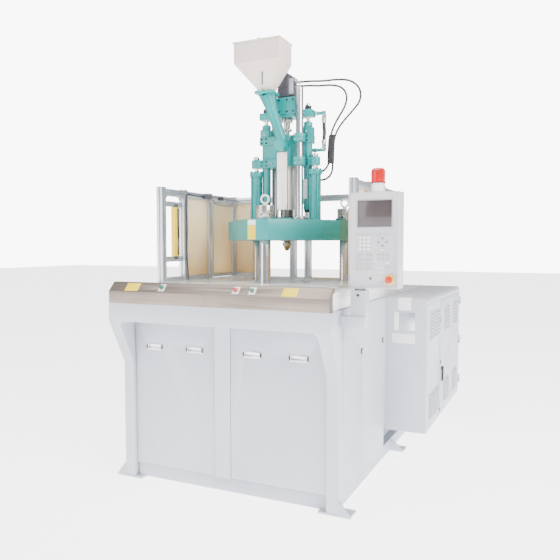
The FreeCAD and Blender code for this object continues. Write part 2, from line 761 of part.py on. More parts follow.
def barrel_guard():
    """Folded stainless cover round the heated barrel, open at the back and bolted to the housing."""
    shell = prism_z(guard_section(guard_wall), guard_z0, house_z0)
    room = prism_z(guard_section(0), guard_z0 - 1, house_z0 + 1)
    tongue = box(-38, 38, inj_y - 66 - guard_wall - 16, inj_y - 66 - 16, guard_z0, guard_z1)
    shell = shell.cut(room).cut(box(-60, 60, inj_y + 50, inj_y + 70, guard_z0 - 1, house_z0 + 1))
    spacer = box(-30, 30, inj_y - 66 - 16, inj_y - 66 - guard_wall, guard_z0 + 60, guard_z0 + 90)
    spacer_b = box(-30, 30, inj_y - 66 - 16, inj_y - 66 - guard_wall, house_z0 - 60, house_z0 - 30)
    return fuse([shell, tongue, spacer, spacer_b])


port_y = inj_y + 27.0
thick_r = 12.0
thin_r = 7.0


def injection_cylinders():
    """Two cylinders that push the crosshead, each with a square head and hose ports."""
    made = []
    for x in (-inj_x, inj_x):
        body = cyl(x, inj_y, inj_z0, inj_z1, inj_r)
        head = box(x - 34, x + 34, inj_y - 34, inj_y + 34, house_z1, house_z1 + 50)
        base = cyl(x, inj_y, inj_z0 - 14, inj_z0, inj_r - 4)
        parts = [body, head, base]
        if x > 0:
            for z in (1941.5, 1888.5):
                parts.append(rod(V(x, port_y, z), V(190, port_y, z), 9))
            parts.append(rod(V(x, port_y, 2095), V(262, port_y, 2095), 11))
            parts.append(cyl(262, port_y, 2084, 2118, 13))
        room = cyl(x, inj_y, inj_z0 + 10, inj_z1 - 26, inj_bore + RUN)
        made.append(cut(fuse(parts), [room, cyl(x, inj_y, inj_z1 - 30, inj_z1 + 1, inj_rod_r + RUN)]))
    return made


def injection_rods():
    rods = []
    for x in (-inj_x, inj_x):
        piston = cyl(x, inj_y, inj_z0 + 90, inj_z0 + 130, inj_bore)
        shank = cyl(x, inj_y, inj_z0 + 130, cross_z0 + ear_t + 46, inj_rod_r)
        nut = cyl(x, inj_y, cross_z0 + ear_t, cross_z0 + ear_t + 34, 20)
        rods.append(fuse([piston, shank, nut]))
    return rods


def crosshead():
    """Cast moving plate: a box round the thrust bearing with an ear to each injection rod."""
    main = box(-cross_half_w, cross_half_w, cross_front, cross_back, cross_z0 + 20, cross_z1)
    lip = box(-cross_half_w + 12, cross_half_w - 12, cross_front + 10, cross_back - 10,
              cross_z0, cross_z0 + 20)
    ear = box(-inj_x - 38, inj_x + 38, inj_y - 38, inj_y + 42, cross_z0, cross_z0 + ear_t)
    elbow = [rod(V(inj_x + 38, port_y, cross_z0 + 24), V(262, port_y, cross_z0 + 24), 11),
             cyl(262, port_y, cross_z0 - 4, cross_z0 + 36, 13)]
    body = fuse([main, lip, ear] + elbow)
    holes = [cyl(s * inj_x, inj_y, cross_z0 - 1, cross_z0 + ear_t + 1, inj_rod_r + GAP) for s in (-1, 1)]
    holes.append(cyl(0, inj_y, cross_z0 - 1, cross_z1 - 12, drive_r + RUN))
    return cut(body, holes)


def hydraulic_motor():
    """Screw-drive motor on the crosshead, with its valve block beside it."""
    motor = box(-52, 26, inj_y - 42, inj_y + 42, cross_z1 + 12, cross_z1 + 166)
    spigot = cyl(-13, inj_y, cross_z1, cross_z1 + 12, 36)
    valve = box(26, 62, inj_y - 30, inj_y + 30, cross_z1 + 20, cross_z1 + 142)
    ports = [rod(V(62, inj_y - 10, cross_z1 + z), V(72, inj_y - 10, cross_z1 + z), 10) for z in (106, 78)]
    return fuse([motor, spigot, valve] + ports)


shaft_z0 = house_z1 + 32    # the drive shaft's lower shoulder, above the housing


def drive_coupling():
    """Two clamp rings on the screw shaft between the crosshead and the housing."""
    return [tube(0, inj_y, cross_z0 - 26, cross_z0 - 2, 40, drive_r + GAP),
            tube(0, inj_y, shaft_z0 + 2, shaft_z0 + 18, 34, drive_r + GAP)]


def screw():
    """Plasticising screw with its drive shaft; the flights are left plain."""
    tip_z = barrel_z0 + 70
    tip = Part.makeCone(3, bore_r - RUN, 30, V(0, inj_y, tip_z))
    body = cyl(0, inj_y, tip_z + 30, shaft_z0, bore_r - RUN)
    shaft = cyl(0, inj_y, shaft_z0, cross_z1 - 14, drive_r)
    return fuse([tip, body, shaft])


# ---------------------------------------------------------------- feed
hop_y0 = spout_y - hop_depth / 2
hop_y1 = spout_y + hop_depth / 2


def rect_wire(x0, x1, y0, y1, z):
    return Part.makePolygon([V(x0, y0, z), V(x1, y0, z), V(x1, y1, z), V(x0, y1, z), V(x0, y0, z)])


hop_mid = (hop_x0 + hop_x1) / 2
lid_axis_y = hop_y1 + 13.5
lid_hinge = 60.0


def lid_axis(start, length, r):
    """A round bar on the lid's hinge line, starting this far from the hopper's middle."""
    return Part.makeCylinder(r, length, V(hop_mid + start, lid_axis_y, hop_z1 + 3), V(1, 0, 0))


def hopper():
    """Folded sheet hopper: upright walls, a taper to the spout, a square flange on the chute."""
    def shape(g, grow):
        upper = box(hop_x0 + g, hop_x1 - g, hop_y0 + g, hop_y1 - g, hop_z1 - hop_skirt, hop_z1 + grow)
        low = rect_wire(spout_x - 39 + g, spout_x + 39 - g, spout_y - 39 + g, spout_y + 39 - g,
                        seat_z + seat_t)
        high = rect_wire(hop_x0 + g, hop_x1 - g, hop_y0 + g, hop_y1 - g, hop_z1 - hop_skirt)
        taper = Part.makeLoft([low, high], True, True)
        return upper.fuse(taper)
    spout = cyl(spout_x, spout_y, seat_z + seat_t - 10, seat_z + seat_t + 8, chute_r - chute_wall - 2)
    rim = box(hop_x0 - 6, hop_x1 + 6, hop_y0 - 6, hop_y1 + 6, hop_z1 - 4, hop_z1)
    outer = fuse([shape(0, 0), rim])
    ears = [box(x, x + 8, hop_y1 + 5, lid_axis_y + 5, hop_z1 - 4, hop_z1 + 8)
            for x in (hop_mid - lid_hinge - 9, hop_mid + lid_hinge + 1)]
    pin = lid_axis(-lid_hinge - 9, 2 * lid_hinge + 18, 2.5)
    return fuse([outer.cut(shape(hop_wall, 10)).cut(spout), pin] + ears)


def hopper_lid():
    lid = box(hop_x0 - 8, hop_x1 + 8, hop_y0 - 8, hop_y1 + 2, hop_z1 + 0.5, hop_z1 + 0.5 + lid_t)
    knob = cyl((hop_x0 + hop_x1) / 2, hop_y0 + 40, hop_z1 + lid_t, hop_z1 + lid_t + 22, 11)
    knuckle = lid_axis(-lid_hinge, 2 * lid_hinge, 5)
    leaf = box(hop_mid - lid_hinge, hop_mid + lid_hinge, hop_y1, lid_axis_y, hop_z1 + 0.5, hop_z1 + 2.5)
    return fuse([lid, knob, knuckle, leaf]).cut(lid_axis(-lid_hinge - 1, 2 * lid_hinge + 2, 2.5 + RUN))


def feed_chute():
    """Cast sloping chute from the hopper seat to the barrel's throat, with a square seat."""
    top = V(spout_x, spout_y, seat_z)
    low = V(throat_x, throat_y - 14, throat_z)
    pipe = rod(low, top, chute_r)
    seat = box(spout_x - 62, spout_x + 62, spout_y - 62, spout_y + 62, seat_z, seat_z + seat_t)
    boot = rod(V(throat_x, throat_y - 54, throat_z - 42), V(throat_x, throat_y - 12, throat_z - 42), 40)
    ball = Part.makeSphere(chute_r, low)
    body = fuse([pipe, seat, boot, ball])
    keep = box(-400, 400, -700, throat_y - 12, throat_z - 100, seat_z + seat_t)
    upper = box(-400, 400, -700, throat_y + 8, throat_z + 20, seat_z + seat_t)
    body = body.common(fuse([keep, upper]))
    bore = fuse([rod(low, top, chute_r - chute_wall), cyl(spout_x, spout_y, seat_z - 12, seat_z + seat_t + 1,
                                                          chute_r - chute_wall - 2),
                 Part.makeSphere(chute_r - chute_wall, low),
                 rod(V(throat_x, throat_y - 24, throat_z - 42), V(throat_x, throat_y, throat_z - 42), 24),
                 rod(V(throat_x, throat_y - 24, throat_z - 42), V(throat_x, throat_y - 20, throat_z), 20)])
    return body.cut(bore)


# ---------------------------------------------------------------- hydraulics in the base
def oil_tank():
    tank = box(-430, 430, 380, 1040, 100, 430)
    room = box(-424, 424, 386, 1034, 106, 424)
    filler = cyl(-330, 470, 430, 470, 40)
    pads = [box(x, x + 80, tank_beam_y + 10, frame_rear - 10, beam_z1, 100) for x in (-420, 340)]
    return fuse([tank.cut(room), filler] + pads)


def pump_set():
    """Electric motor with its fan cowl, and the pump on a bell housing at its front."""
    z = 430 + 150
    body = Part.makeCylinder(115, 330, V(-60, 690, z), V(1, 0, 0))
    feet = [box(-20, 30, 590, 790, 430, 500), box(200, 250, 590, 790, 430, 500)]
    cowl = Part.makeCylinder(120, 60, V(270, 690, z), V(1, 0, 0))
    motor = fuse([body, cowl] + feet)
    bell = Part.makeCylinder(80, 90, V(-150, 690, z), V(1, 0, 0))
    pump = Part.makeCylinder(62, 130, V(-280, 690, z), V(1, 0, 0))
    leg = box(-240, -200, 650, 730, 430, z)
    return [motor, fuse([bell, pump, leg])]


def valve_block():
    """Manifold on the tank with a row of solenoid valves."""
    block = box(-380, 380, 900, 1000, 430, 520)
    valves = [box(x - 24, x + 24, 880, 1020, 520, 590) for x in (-300, -180, -60, 60, 180, 300)]
    return fuse([block] + valves)


# ---------------------------------------------------------------- guards
def post(x, y, z0, z1):
    """Aluminium extrusion, square with a slot down the middle of each face."""
    h = prof / 2
    body = box(x - h, x + h, y - h, y + h, z0, z1)
    slots = []
    for dx, dy in ((1, 0), (-1, 0), (0, 1), (0, -1)):
        sx, sy = x + dx * h, y + dy * h
        slots.append(box(sx - 4 - abs(dx) * 4, sx + 4 + abs(dx) * 4,
                         sy - 4 - abs(dy) * 4, sy + 4 + abs(dy) * 4, z0 - 1, z1 + 1))
    return cut(body, slots)


def rail_x(x0, x1, y, z, size=prof):
    h = size / 2
    return box(x0, x1, y - h, y + h, z - h, z + h)


def rail_y(x, y0, y1, z, size=prof):
    h = size / 2
    return box(x - h, x + h, y0, y1, z - h, z + h)


rail_z = guard_top - prof / 2 - 6
guard_hinge_x = -guard_x - prof / 2 - 7
guard_hinge_y = guard_rear_y - prof / 2 - 1.5
guard_hinge_zs = (1290.0, 1500.0, 1690.0)
low_rail = 30.0


def guard_frames():
    h = prof / 2
    parts = []
    for s in (-1, 1):
        x = s * guard_x
        for y in (guard_front_y, guard_bay_y, guard_stile_y, guard_rear_y):
            parts.append(post(x, y, deck_top, guard_top))
        for y0, y1 in ((guard_front_y, guard_bay_y), (guard_bay_y, guard_stile_y),
                       (guard_stile_y, guard_rear_y)):
            parts.append(rail_y(x, y0 + h, y1 - h, rail_z))
            if y1 <= guard_stile_y or s > 0:
                parts.append(rail_y(x, y0 + h, y1 - h, deck_top + low_rail / 2, low_rail))
        parts.append(post(s * rear_stile_x, guard_rear_y, deck_top, guard_top))
        a, b = sorted((s * (rear_stile_x + h), s * (guard_x - h)))
        parts.append(rail_x(a, b, guard_rear_y, rail_z))
        parts.append(rail_x(a, b, guard_rear_y, deck_top + low_rail / 2, low_rail))
    parts.append(rail_x(-rear_stile_x + h, rear_stile_x - h, guard_rear_y, rail_z))
    for x in (-141.0, -18.0):
        parts.append(post(x, guard_rear_y, deck_top, rail_z - h))
    for z in guard_hinge_zs:
        leaf = box(guard_hinge_x - 2, -guard_x - h, guard_rear_y - h + 2, guard_rear_y - h + 24,
                   z - 34, z - 1)
        web = box(guard_hinge_x - 2, guard_hinge_x + 2, guard_hinge_y + 2, guard_rear_y - h + 4,
                  z - 34, z - 1)
        parts.append(fuse([leaf, web, cyl(guard_hinge_x, guard_hinge_y, z - 34, z - 1, 5.5),
                           cyl(guard_hinge_x, guard_hinge_y, z - 2, z + 32, 3)]))
    return parts


def guard_sheets():
    """Tinted polycarbonate sheets held in the slots of the fixed frames."""
    h = prof / 2 - 6
    z0 = deck_top + low_rail
    z1 = rail_z - prof / 2
    t = sheet_amber / 2
    sheets = []
    for s in (-1, 1):
        x = s * guard_x
        spans = [(guard_bay_y, guard_stile_y)]
        if s > 0:
            spans += [(guard_front_y, guard_bay_y), (guard_stile_y, guard_rear_y)]
        for y0, y1 in spans:
            sheets.append(box(x - t, x + t, y0 + h, y1 - h, z0, z1))
        a, b = sorted((s * (rear_stile_x + h), s * (guard_x - h)))
        sheets.append(box(a, b, guard_rear_y - t, guard_rear_y + t, z0, z1))
    return sheets


def light_curtain():
    """Safety light bar on two cross bands in the front bay of the left guard."""
    x = -guard_x
    y = (guard_front_y + guard_bay_y) / 2 + 28
    bar = box(x - 17, x + 17, y - 24, y + 24, curtain_z0, curtain_z1)
    bands = [box(x - 4, x + 4, guard_front_y + prof / 2, guard_bay_y - prof / 2, z, z + 36)
             for z in (curtain_z0 - 36, curtain_z1)]
    return fuse([bar] + bands)


door_prof = 30.0


def guard_door():
    """Hinged rear bay of the left guard: a light frame round a tinted sheet."""
    h = door_prof / 2
    x = -guard_x
    y0 = guard_stile_y + prof / 2 + 3
    y1 = guard_rear_y - prof / 2 - 3
    z0 = deck_top + 6
    z1 = rail_z - prof / 2 - 3
    window = box(x - h - 1, x + h + 1, y0 + 24, y1 - 24, z0 + 24, z1 - 24)
    frame = box(x - h, x + h, y0, y1, z0, z1).cut(window)
    pane = box(x - 2, x + 2, y0 + 23, y1 - 23, z0 + 23, z1 - 23)
    finger_room = box(x - h - 16, x - h + 1, y0, y0 + 24, 1486, 1574)
    grip = box(x - h - 26, x - h, y0 + 4, y0 + 20, 1470, 1590).cut(finger_room)
    knuckles = []
    for z in guard_hinge_zs:
        knuckles += [cyl(guard_hinge_x, guard_hinge_y, z, z + 34, 5.5),
                     box(guard_hinge_x - 2, x - h, y1 - 26, y1 - 4, z, z + 34),
                     box(guard_hinge_x - 2, guard_hinge_x + 2, y1 - 6, guard_hinge_y - 2, z, z + 34)]
    pins = [cyl(guard_hinge_x, guard_hinge_y, z - 1, z + 35, 3 + RUN) for z in guard_hinge_zs]
    return cut(fuse([frame, pane, grip] + knuckles), pins)


# ---------------------------------------------------------------- cabinet
hinge_x = cab_x1 + 9.0
hinge_y = cab_y1 - 13.0
hinge_zs = (330.0, 660.0, 990.0)


def cabinet_shell():
    """Electrical cabinet on the machine's right side, with a fixed panel in front of its door."""
    body = box(cab_x0, cab_x1, cab_y0, cab_y1, cab_z0, cab_z1)
    edge = [e for e in body.Edges if e.BoundBox.XMin > cab_x1 - 0.1 and e.BoundBox.ZMin > cab_z1 - 0.1]
    body = body.makeFillet(26, edge)
    w = cab_wall
    room = box(cab_x0 + w, cab_x1 - w, cab_y0 + w, cab_y1 - w, cab_z0 + w, cab_z1 - w - 26)
    opening = box(cab_x1 - w - 1, cab_x1 + 1, cab_seam + 12, cab_y1 - 12, cab_z0 + 14, cab_z1 - 44)
    shell = cut(body, [room, opening])
    hinges = []
    for z in hinge_zs:
        leaf = box(cab_x1 - 1, cab_x1 + 4, cab_y1 - 11, cab_y1 - 1, z - 32, z - 1)
        web = box(cab_x1 + 2, hinge_x, hinge_y + 2, hinge_y + 6, z - 32, z - 1)
        hinges += [leaf, web, cyl(hinge_x, hinge_y, z - 32, z - 1, 6.5),
                   cyl(hinge_x, hinge_y, z - 2, z + 28, 4)]
    return fuse([shell] + hinges)


cab_door_z0 = cab_z0 + 16
cab_door_z1 = cab_z1 - 46
lever_y = 330.0
lever_z = 560.0


def cabinet_door():
    x0 = cab_x1 - tray_depth
    door = tray(x0, cab_x1 + 1, cab_seam + 14, cab_y1 - 14, cab_door_z0, cab_door_z1, "-x", 2.5)
    slots = []
    for y0 in (430.0, 800.0):
        for i in range(6):
            for z in (832.0 + i * 25, 300.0 + i * 22):
                slots.append(box(cab_x1 - 4, cab_x1 + 3, y0, y0 + 150, z, z + 7))
    hub = Part.makeCylinder(9 + RUN, 20, V(cab_x1 - 10, lever_y, lever_z), V(1, 0, 0))
    knuckles = []
    for z in hinge_zs:
        knuckles += [cyl(hinge_x, hinge_y, z, z + 30, 6.5),
                     box(cab_x1 - 1, hinge_x - 2, hinge_y - 24, hinge_y - 1, z, z + 30)]
    pins = [cyl(hinge_x, hinge_y, z - 1, z + 31, 4 + RUN) for z in hinge_zs]
    return cut(fuse([cut(door, slots + [hub])] + knuckles), pins)


def cabinet_lever():
    hub = Part.makeCylinder(9, 12, V(cab_x1 - 4, lever_y, lever_z), V(1, 0, 0))
    plate = Part.makeCylinder(15, 8, V(cab_x1 + 2, lever_y, lever_z), V(1, 0, 0))
    grip = box(cab_x1 + 6, cab_x1 + 18, lever_y - 10, lever_y + 10, lever_z - 92, lever_z + 12)
    return fuse([hub, plate, grip])


# ---------------------------------------------------------------- operator panel
def hmi_arm():
    """Folded arm from the portal's cheek and the upright that carries the panel."""
    out = half_w + cheek_over
    arm = box(out, post_x1, arm_y0, arm_y1, arm_z0, arm_z1)
    upright = box(post_x0, post_x1, arm_y0 + 20, arm_y1, arm_z0, hmi_z0 - 12)
    cap = cyl(pivot_x, pivot_y - 30, hmi_z0 - 12, hmi_z0 - 4, 26)
    return fuse([arm, upright, cap])


swivel_y = pivot_y - 30


def hmi_box():
    """Panel housing: a box with a raised rim, turned on a pin in the arm."""
    body = box(hmi_x0, hmi_x1, hmi_y0, hmi_y1, hmi_z0, hmi_z1)
    body = body.makeFillet(8, [e for e in body.Edges if e.BoundBox.ZLength > 100])
    face = box(hmi_x0 + 10, hmi_x1 - 10, hmi_y0 - 1, hmi_y0 + 3, hmi_z0 + 10, hmi_z1 - 10)
    pin = cyl(pivot_x, swivel_y, hmi_z0 - 3.7, hmi_z0, 22)
    window = box(hmi_x0 + 44, hmi_x1 - 40, hmi_y0 + 2, hmi_y0 + 7, 1542, 1676)
    stop_hole = Part.makeCylinder(13 + GAP, 60, V(hmi_x1 + estop_dx, hmi_y0 - 1, estop_z), V(0, 1, 0))
    room = box(hmi_x0 + 4, hmi_x1 - 4, hmi_y0 + 12, hmi_y1 - 4, hmi_z0 + 4, hmi_z1 - 4)
    return cut(body.fuse(pin), [face, window, stop_hole, room])


def hmi_screen():
    return box(hmi_x0 + 44.5, hmi_x1 - 40.5, hmi_y0 + 3.5, hmi_y0 + 7, 1542.5, 1675.5)


def estop_button():
    x = hmi_x1 + estop_dx
    stem = Part.makeCylinder(13, 24, V(x, hmi_y0 - 8, estop_z), V(0, 1, 0))
    head = Part.makeCylinder(19, 14, V(x, hmi_y0 - 22, estop_z), V(0, 1, 0))
    head = head.makeFillet(4, [e for e in head.Edges if e.BoundBox.YMax < hmi_y0 - 21])
    return fuse([stem, head])


def beacon():
    """Warning beacon: a clear dome on a moulded foot."""
    y = (hmi_y0 + hmi_y1) / 2
    foot_part = Part.makeCone(beacon_r + 1, beacon_r - 4, 50, V(beacon_x, y, hmi_z1))
    dome = cyl(beacon_x, y, hmi_z1 + 50.0, hmi_z1 + 126, beacon_r - 1)
    dome = dome.makeFillet(14, [e for e in dome.Edges if e.BoundBox.ZMin > hmi_z1 + 125])
    return [foot_part, dome]


# ---------------------------------------------------------------- hoses
def hose(name, points, r):
    """Straight runs joined by tangent arcs, each as large as its two runs allow."""
    pts = [V(*p) for p in points]
    edges = []
    here = pts[0]
    radii = []
    for i in range(1, len(pts) - 1):
        a = pts[i - 1].sub(pts[i])
        b = pts[i + 1].sub(pts[i])
        short = min(a.Length, b.Length)
        a.normalize()
        b.normalize()
        turn = math.pi - a.getAngle(b)
        reach = 0.45 * short
        radii.append(reach / math.tan(turn / 2))
        p = pts[i].add(V(a).multiply(reach))
        q = pts[i].add(V(b).multiply(reach))
        way = a.add(b)
        way.normalize()
        arc_r = radii[-1]
        centre_dist = math.hypot(arc_r, reach)
        m = pts[i].add(V(way).multiply(centre_dist - arc_r))
        edges.append(Part.LineSegment(here, p).toShape())
        edges.append(Part.Arc(p, m, q).toShape())
        here = q
    edges.append(Part.LineSegment(here, pts[-1]).toShape())
    path = Part.Wire(edges)
    start_way = pts[1].sub(pts[0])
    circle = Part.Wire(Part.makeCircle(r, pts[0], start_way))
    body = path.makePipeShell([circle], True, False)
    print(name, "length", round(path.Length), "radii", [round(x / (2 * r), 1) for x in radii], "dia",
          "volume ratio", round(body.Volume / (math.pi * r * r * path.Length), 4))
    return body


motor_port_z = cross_z1 + 106
port_face_x = 190
hose_a = [(72, inj_y - 10, motor_port_z), (160, inj_y - 10, motor_port_z), (265, -238, 2545),
          (370, -234, 2547), (462, -230, 2532), (524, -226, 2474), (526, -222, 2398), (476, -218, 2342),
          (418, -214, 2288), (364, -210, 2230), (334, port_y, 2158), (326, port_y, 2080),
          (325, port_y, 2010), (326, port_y, 1950), (303.5, port_y, 1911), (264.5, port_y, 1888.5),
          (port_face_x, port_y, 1888.5)]
hose_b = [(72, inj_y - 10, motor_port_z - 28), (150, inj_y - 10, motor_port_z - 28), (240, -246, 2514),
          (330, -248, 2512), (406, -246, 2490), (440, -240, 2430), (422, -234, 2364), (380, -226, 2308),
          (338, -218, 2248), (310, -210, 2180), (301, port_y, 2110), (300, port_y, 2050),
          (300, port_y - 0.5, 2003), (277.5, port_y, 1964), (238.5, port_y, 1941.5),
          (port_face_x, port_y, 1941.5)]
hose_c = [(262, port_y, cross_z0 - 4), (262, port_y, cross_z0 - 60), (267, port_y, cross_z0 - 106),
          (262, port_y, 2166), (262, port_y, 2118)]

save("base_frame", base_frame())
save("front_portal", front_portal())
save("front_doors", front_doors())
save("door_handles", door_handles())
save("side_covers", side_covers())
save("rear_covers", rear_covers())
save("bed_plate", bed_plate())
save("deck", deck())
save("apron", apron())
save("tie_bar_bushes", tie_bar_bushes())
save("slew_bearing", slew_bearing())
save("table_motor", table_motor())
save("clamp_cylinder", clamp_cylinder())
save("oil_tank", oil_tank())
save("pump_set", pump_set())
save("valve_block", valve_block())
save("guard_frames", guard_frames())
save("guard_sheets", guard_sheets())
save("light_curtain", light_curtain())
save("cabinet_shell", cabinet_shell())
save("hmi_arm", hmi_arm())
save("rotary_table", rotary_table())
save("ring_gear", ring_gear())
save("table_pinion", table_pinion())
save("upper_platen", upper_platen())
save("tie_bars", tie_bars())
save("tie_bar_nuts", tie_bar_nuts())
save("eyebolts", eyebolts())
save("lower_crosshead", lower_crosshead())
save("clamp_ram", clamp_ram())
save("guide_bars", guide_bars())
save("carriage_cylinders", carriage_cylinders())
save("carriage_rods", carriage_rods())
save("injection_housing", injection_housing())
save("barrel", barrel())
save("nozzle", nozzle())
save("heater_bands", heater_bands())
save("barrel_guard", barrel_guard())
save("injection_cylinders", injection_cylinders())
save("feed_chute", feed_chute())
save("hopper", hopper())
save("hopper_lid", hopper_lid())
save("crosshead", crosshead())
save("injection_rods", injection_rods())
save("hydraulic_motor", hydraulic_motor())
save("drive_coupling", drive_coupling())
save("screw", screw())
save("hmi_box", hmi_box())
save("hmi_screen", hmi_screen())
save("beacon", beacon())
save("estop_button", estop_button())
for node, x in button_xs.items():
    save(node, push_button(x))
save("guard_door", guard_door())
save("cabinet_door", cabinet_door())
save("cabinet_lever", cabinet_lever())
save("motor_hose_outer", hose("motor_hose_outer", hose_a, thin_r))
save("motor_hose_inner", hose("motor_hose_inner", hose_b, thin_r))
save("cylinder_hose", hose("cylinder_hose", hose_c, thick_r))
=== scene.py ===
import math
import bpy
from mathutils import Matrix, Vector


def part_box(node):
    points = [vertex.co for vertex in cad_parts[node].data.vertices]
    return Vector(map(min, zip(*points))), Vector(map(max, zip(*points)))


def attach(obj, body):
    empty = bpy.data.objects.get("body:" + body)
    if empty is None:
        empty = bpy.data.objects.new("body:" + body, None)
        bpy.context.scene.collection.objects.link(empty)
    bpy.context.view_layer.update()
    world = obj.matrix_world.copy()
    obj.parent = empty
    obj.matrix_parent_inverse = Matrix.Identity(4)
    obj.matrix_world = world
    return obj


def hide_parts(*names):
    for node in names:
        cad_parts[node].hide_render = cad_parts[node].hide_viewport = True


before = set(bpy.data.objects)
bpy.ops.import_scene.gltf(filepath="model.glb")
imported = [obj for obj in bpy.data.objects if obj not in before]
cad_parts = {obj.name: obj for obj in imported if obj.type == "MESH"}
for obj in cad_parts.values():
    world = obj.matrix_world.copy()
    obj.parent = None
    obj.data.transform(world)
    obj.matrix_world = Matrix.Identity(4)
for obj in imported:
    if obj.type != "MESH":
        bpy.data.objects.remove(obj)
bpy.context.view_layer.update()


# ---- Camera
# A tripod camera in front of the machine's right side, at eye height.
# It looks a little down, with a moderate lens and everything in focus.
camera_data = bpy.data.cameras.new("camera")
camera_data.lens = 39.54
camera = bpy.data.objects.new("camera", camera_data)
camera.location = (1.763, -4.164, 1.45)
camera.rotation_euler = (math.radians(86.72), 0, math.radians(24.8))
bpy.context.scene.collection.objects.link(camera)
bpy.context.scene.camera = camera


# ---- Hydraulic hoses
# Two thin motor hoses and one thick cylinder hose: braided wire under a black rubber cover.
# Crimped ferrules hold their ends, and a wrapped sleeve keeps the thin pair together.
def pick(*pieces):
    """Select these pieces and nothing else."""
    bpy.ops.object.select_all(action="DESELECT")
    for piece in pieces:
        piece.select_set(True)
    bpy.context.view_layer.objects.active = pieces[0]


def settle():
    """Move the active piece's place, turn and size into its mesh."""
    bpy.ops.object.transform_apply(location=True, rotation=True, scale=True)


def edit_all():
    """Open the active piece in edit mode with all of it selected."""
    bpy.ops.object.mode_set(mode="EDIT")
    bpy.ops.mesh.select_all(action="SELECT")


def tone(red, green, blue):
    """A paint chip's screen colour as a shader colour."""
    return tuple(((part / 255) ** 2.2 for part in (red, green, blue))) + (1,)


def shader_group(name, inputs, outputs):
    """An empty node group with named sockets, and its coordinate source."""
    group = bpy.data.node_groups.new(name, "ShaderNodeTree")
    for label, kind, value in inputs:
        socket = group.interface.new_socket(label, in_out="INPUT", socket_type=kind)
        socket.default_value = value
    for label, kind in outputs:
        group.interface.new_socket(label, in_out="OUTPUT", socket_type=kind)
    source = group.nodes.new("NodeGroupInput")
    result = group.nodes.new("NodeGroupOutput")
    place = group.nodes.new("ShaderNodeTexCoord")
    return (group, source, result, place)


def noise(tree, where, size, detail=2.0):
    """A noise texture read at a coordinate; size is a number or a socket."""
    node = tree.nodes.new("ShaderNodeTexNoise")
    node.inputs["Detail"].default_value = detail
    tree.links.new(where, node.inputs["Vector"])
    if isinstance(size, (int, float)):
        node.inputs["Scale"].default_value = size
    else:
        tree.links.new(size, node.inputs["Scale"])
    return node.outputs["Fac"]


def spread(tree, value, low, high, out_low=0.0, out_high=1.0):
    """A value's range between low and high, stretched to a new range."""
    node = tree.nodes.new("ShaderNodeMapRange")
    node.inputs["From Min"].default_value = low
    node.inputs["From Max"].default_value = high
    node.inputs["To Min"].default_value = out_low
    node.inputs["To Max"].default_value = out_high
    tree.links.new(value, node.inputs["Value"])
    return node.outputs["Result"]


def blend_colours(tree, mask, first, second):
    """The first colour where the mask is dark and the second where it is light."""
    node = tree.nodes.new("ShaderNodeMix")
    node.data_type = "RGBA"
    tree.links.new(mask, node.inputs["Factor"])
    tree.links.new(first, node.inputs[6])
    tree.links.new(second, node.inputs[7])
    return node.outputs[2]


def join_values(tree, operation, first, second):
    """Two values, or a value and a number, through one maths step."""
    node = tree.nodes.new("ShaderNodeMath")
    node.operation = operation
    for slot, value in enumerate((first, second)):
        if isinstance(value, (int, float)):
            node.inputs[slot].default_value = value
        else:
            tree.links.new(value, node.inputs[slot])
    return node.outputs[0]


FILM_INPUTS = [("Colour", "NodeSocketColor", (1, 1, 1, 1)), ("Shade", "NodeSocketColor", (1, 1, 1, 1)),
               ("Patch Size", "NodeSocketFloat", 3.0), ("Grain Size", "NodeSocketFloat", 400.0),
               ("Gloss", "NodeSocketFloat", 0.4)]
FILM_OUTPUTS = [("Colour", "NodeSocketColor"), ("Roughness", "NodeSocketFloat"),
                ("Height", "NodeSocketFloat")]


def coat_film_group():
    """A paint or moulded skin: slow drift in colour, a fine peel and uneven gloss."""
    group, source, result, place = shader_group("coat_film", FILM_INPUTS, FILM_OUTPUTS)
    where = place.outputs["Object"]
    patch = spread(group, noise(group, where, source.outputs["Patch Size"], 4.0), 0.35, 0.68)
    colour = blend_colours(group, patch, source.outputs["Colour"], source.outputs["Shade"])
    group.links.new(colour, result.inputs["Colour"])
    peel = noise(group, where, source.outputs["Grain Size"], 3.0)
    group.links.new(peel, result.inputs["Height"])
    smudge = spread(group, noise(group, where, 9.0, 5.0), 0.4, 0.7, -0.04, 0.1)
    group.links.new(join_values(group, "ADD", source.outputs["Gloss"], smudge), result.inputs["Roughness"])
    return group


def finish(name, group, values, depth, metallic=0.0, slot=None, **sockets):
    """A material from one of the shared groups. The slot argument is not used."""
    material = bpy.data.materials.new(name)
    material.use_nodes = True
    tree = material.node_tree
    shader = tree.nodes["Principled BSDF"]
    shader.inputs["Metallic"].default_value = metallic
    for label, value in sockets.items():
        shader.inputs[label.replace("_", " ")].default_value = value
    skin = tree.nodes.new("ShaderNodeGroup")
    skin.node_tree = group
    for label, value in values.items():
        skin.inputs[label].default_value = value
    bump = tree.nodes.new("ShaderNodeBump")
    bump.inputs["Strength"].default_value = 0.6
    bump.inputs["Distance"].default_value = depth
    tree.links.new(skin.outputs["Colour"], shader.inputs["Base Color"])
    tree.links.new(skin.outputs["Roughness"], shader.inputs["Roughness"])
    tree.links.new(skin.outputs["Height"], bump.inputs["Height"])
    tree.links.new(bump.outputs["Normal"], shader.inputs["Normal"])
    return material


def film(name, colour, shade, gloss, patch=3.0, grain=400.0, depth=0.0002, **sockets):
    """A painted, moulded or rubber finish made from the coat film group."""
    values = {"Colour": colour, "Shade": shade, "Gloss": gloss, "Patch Size": patch, "Grain Size": grain}
    return finish(name, coat_film, values, depth, **sockets)


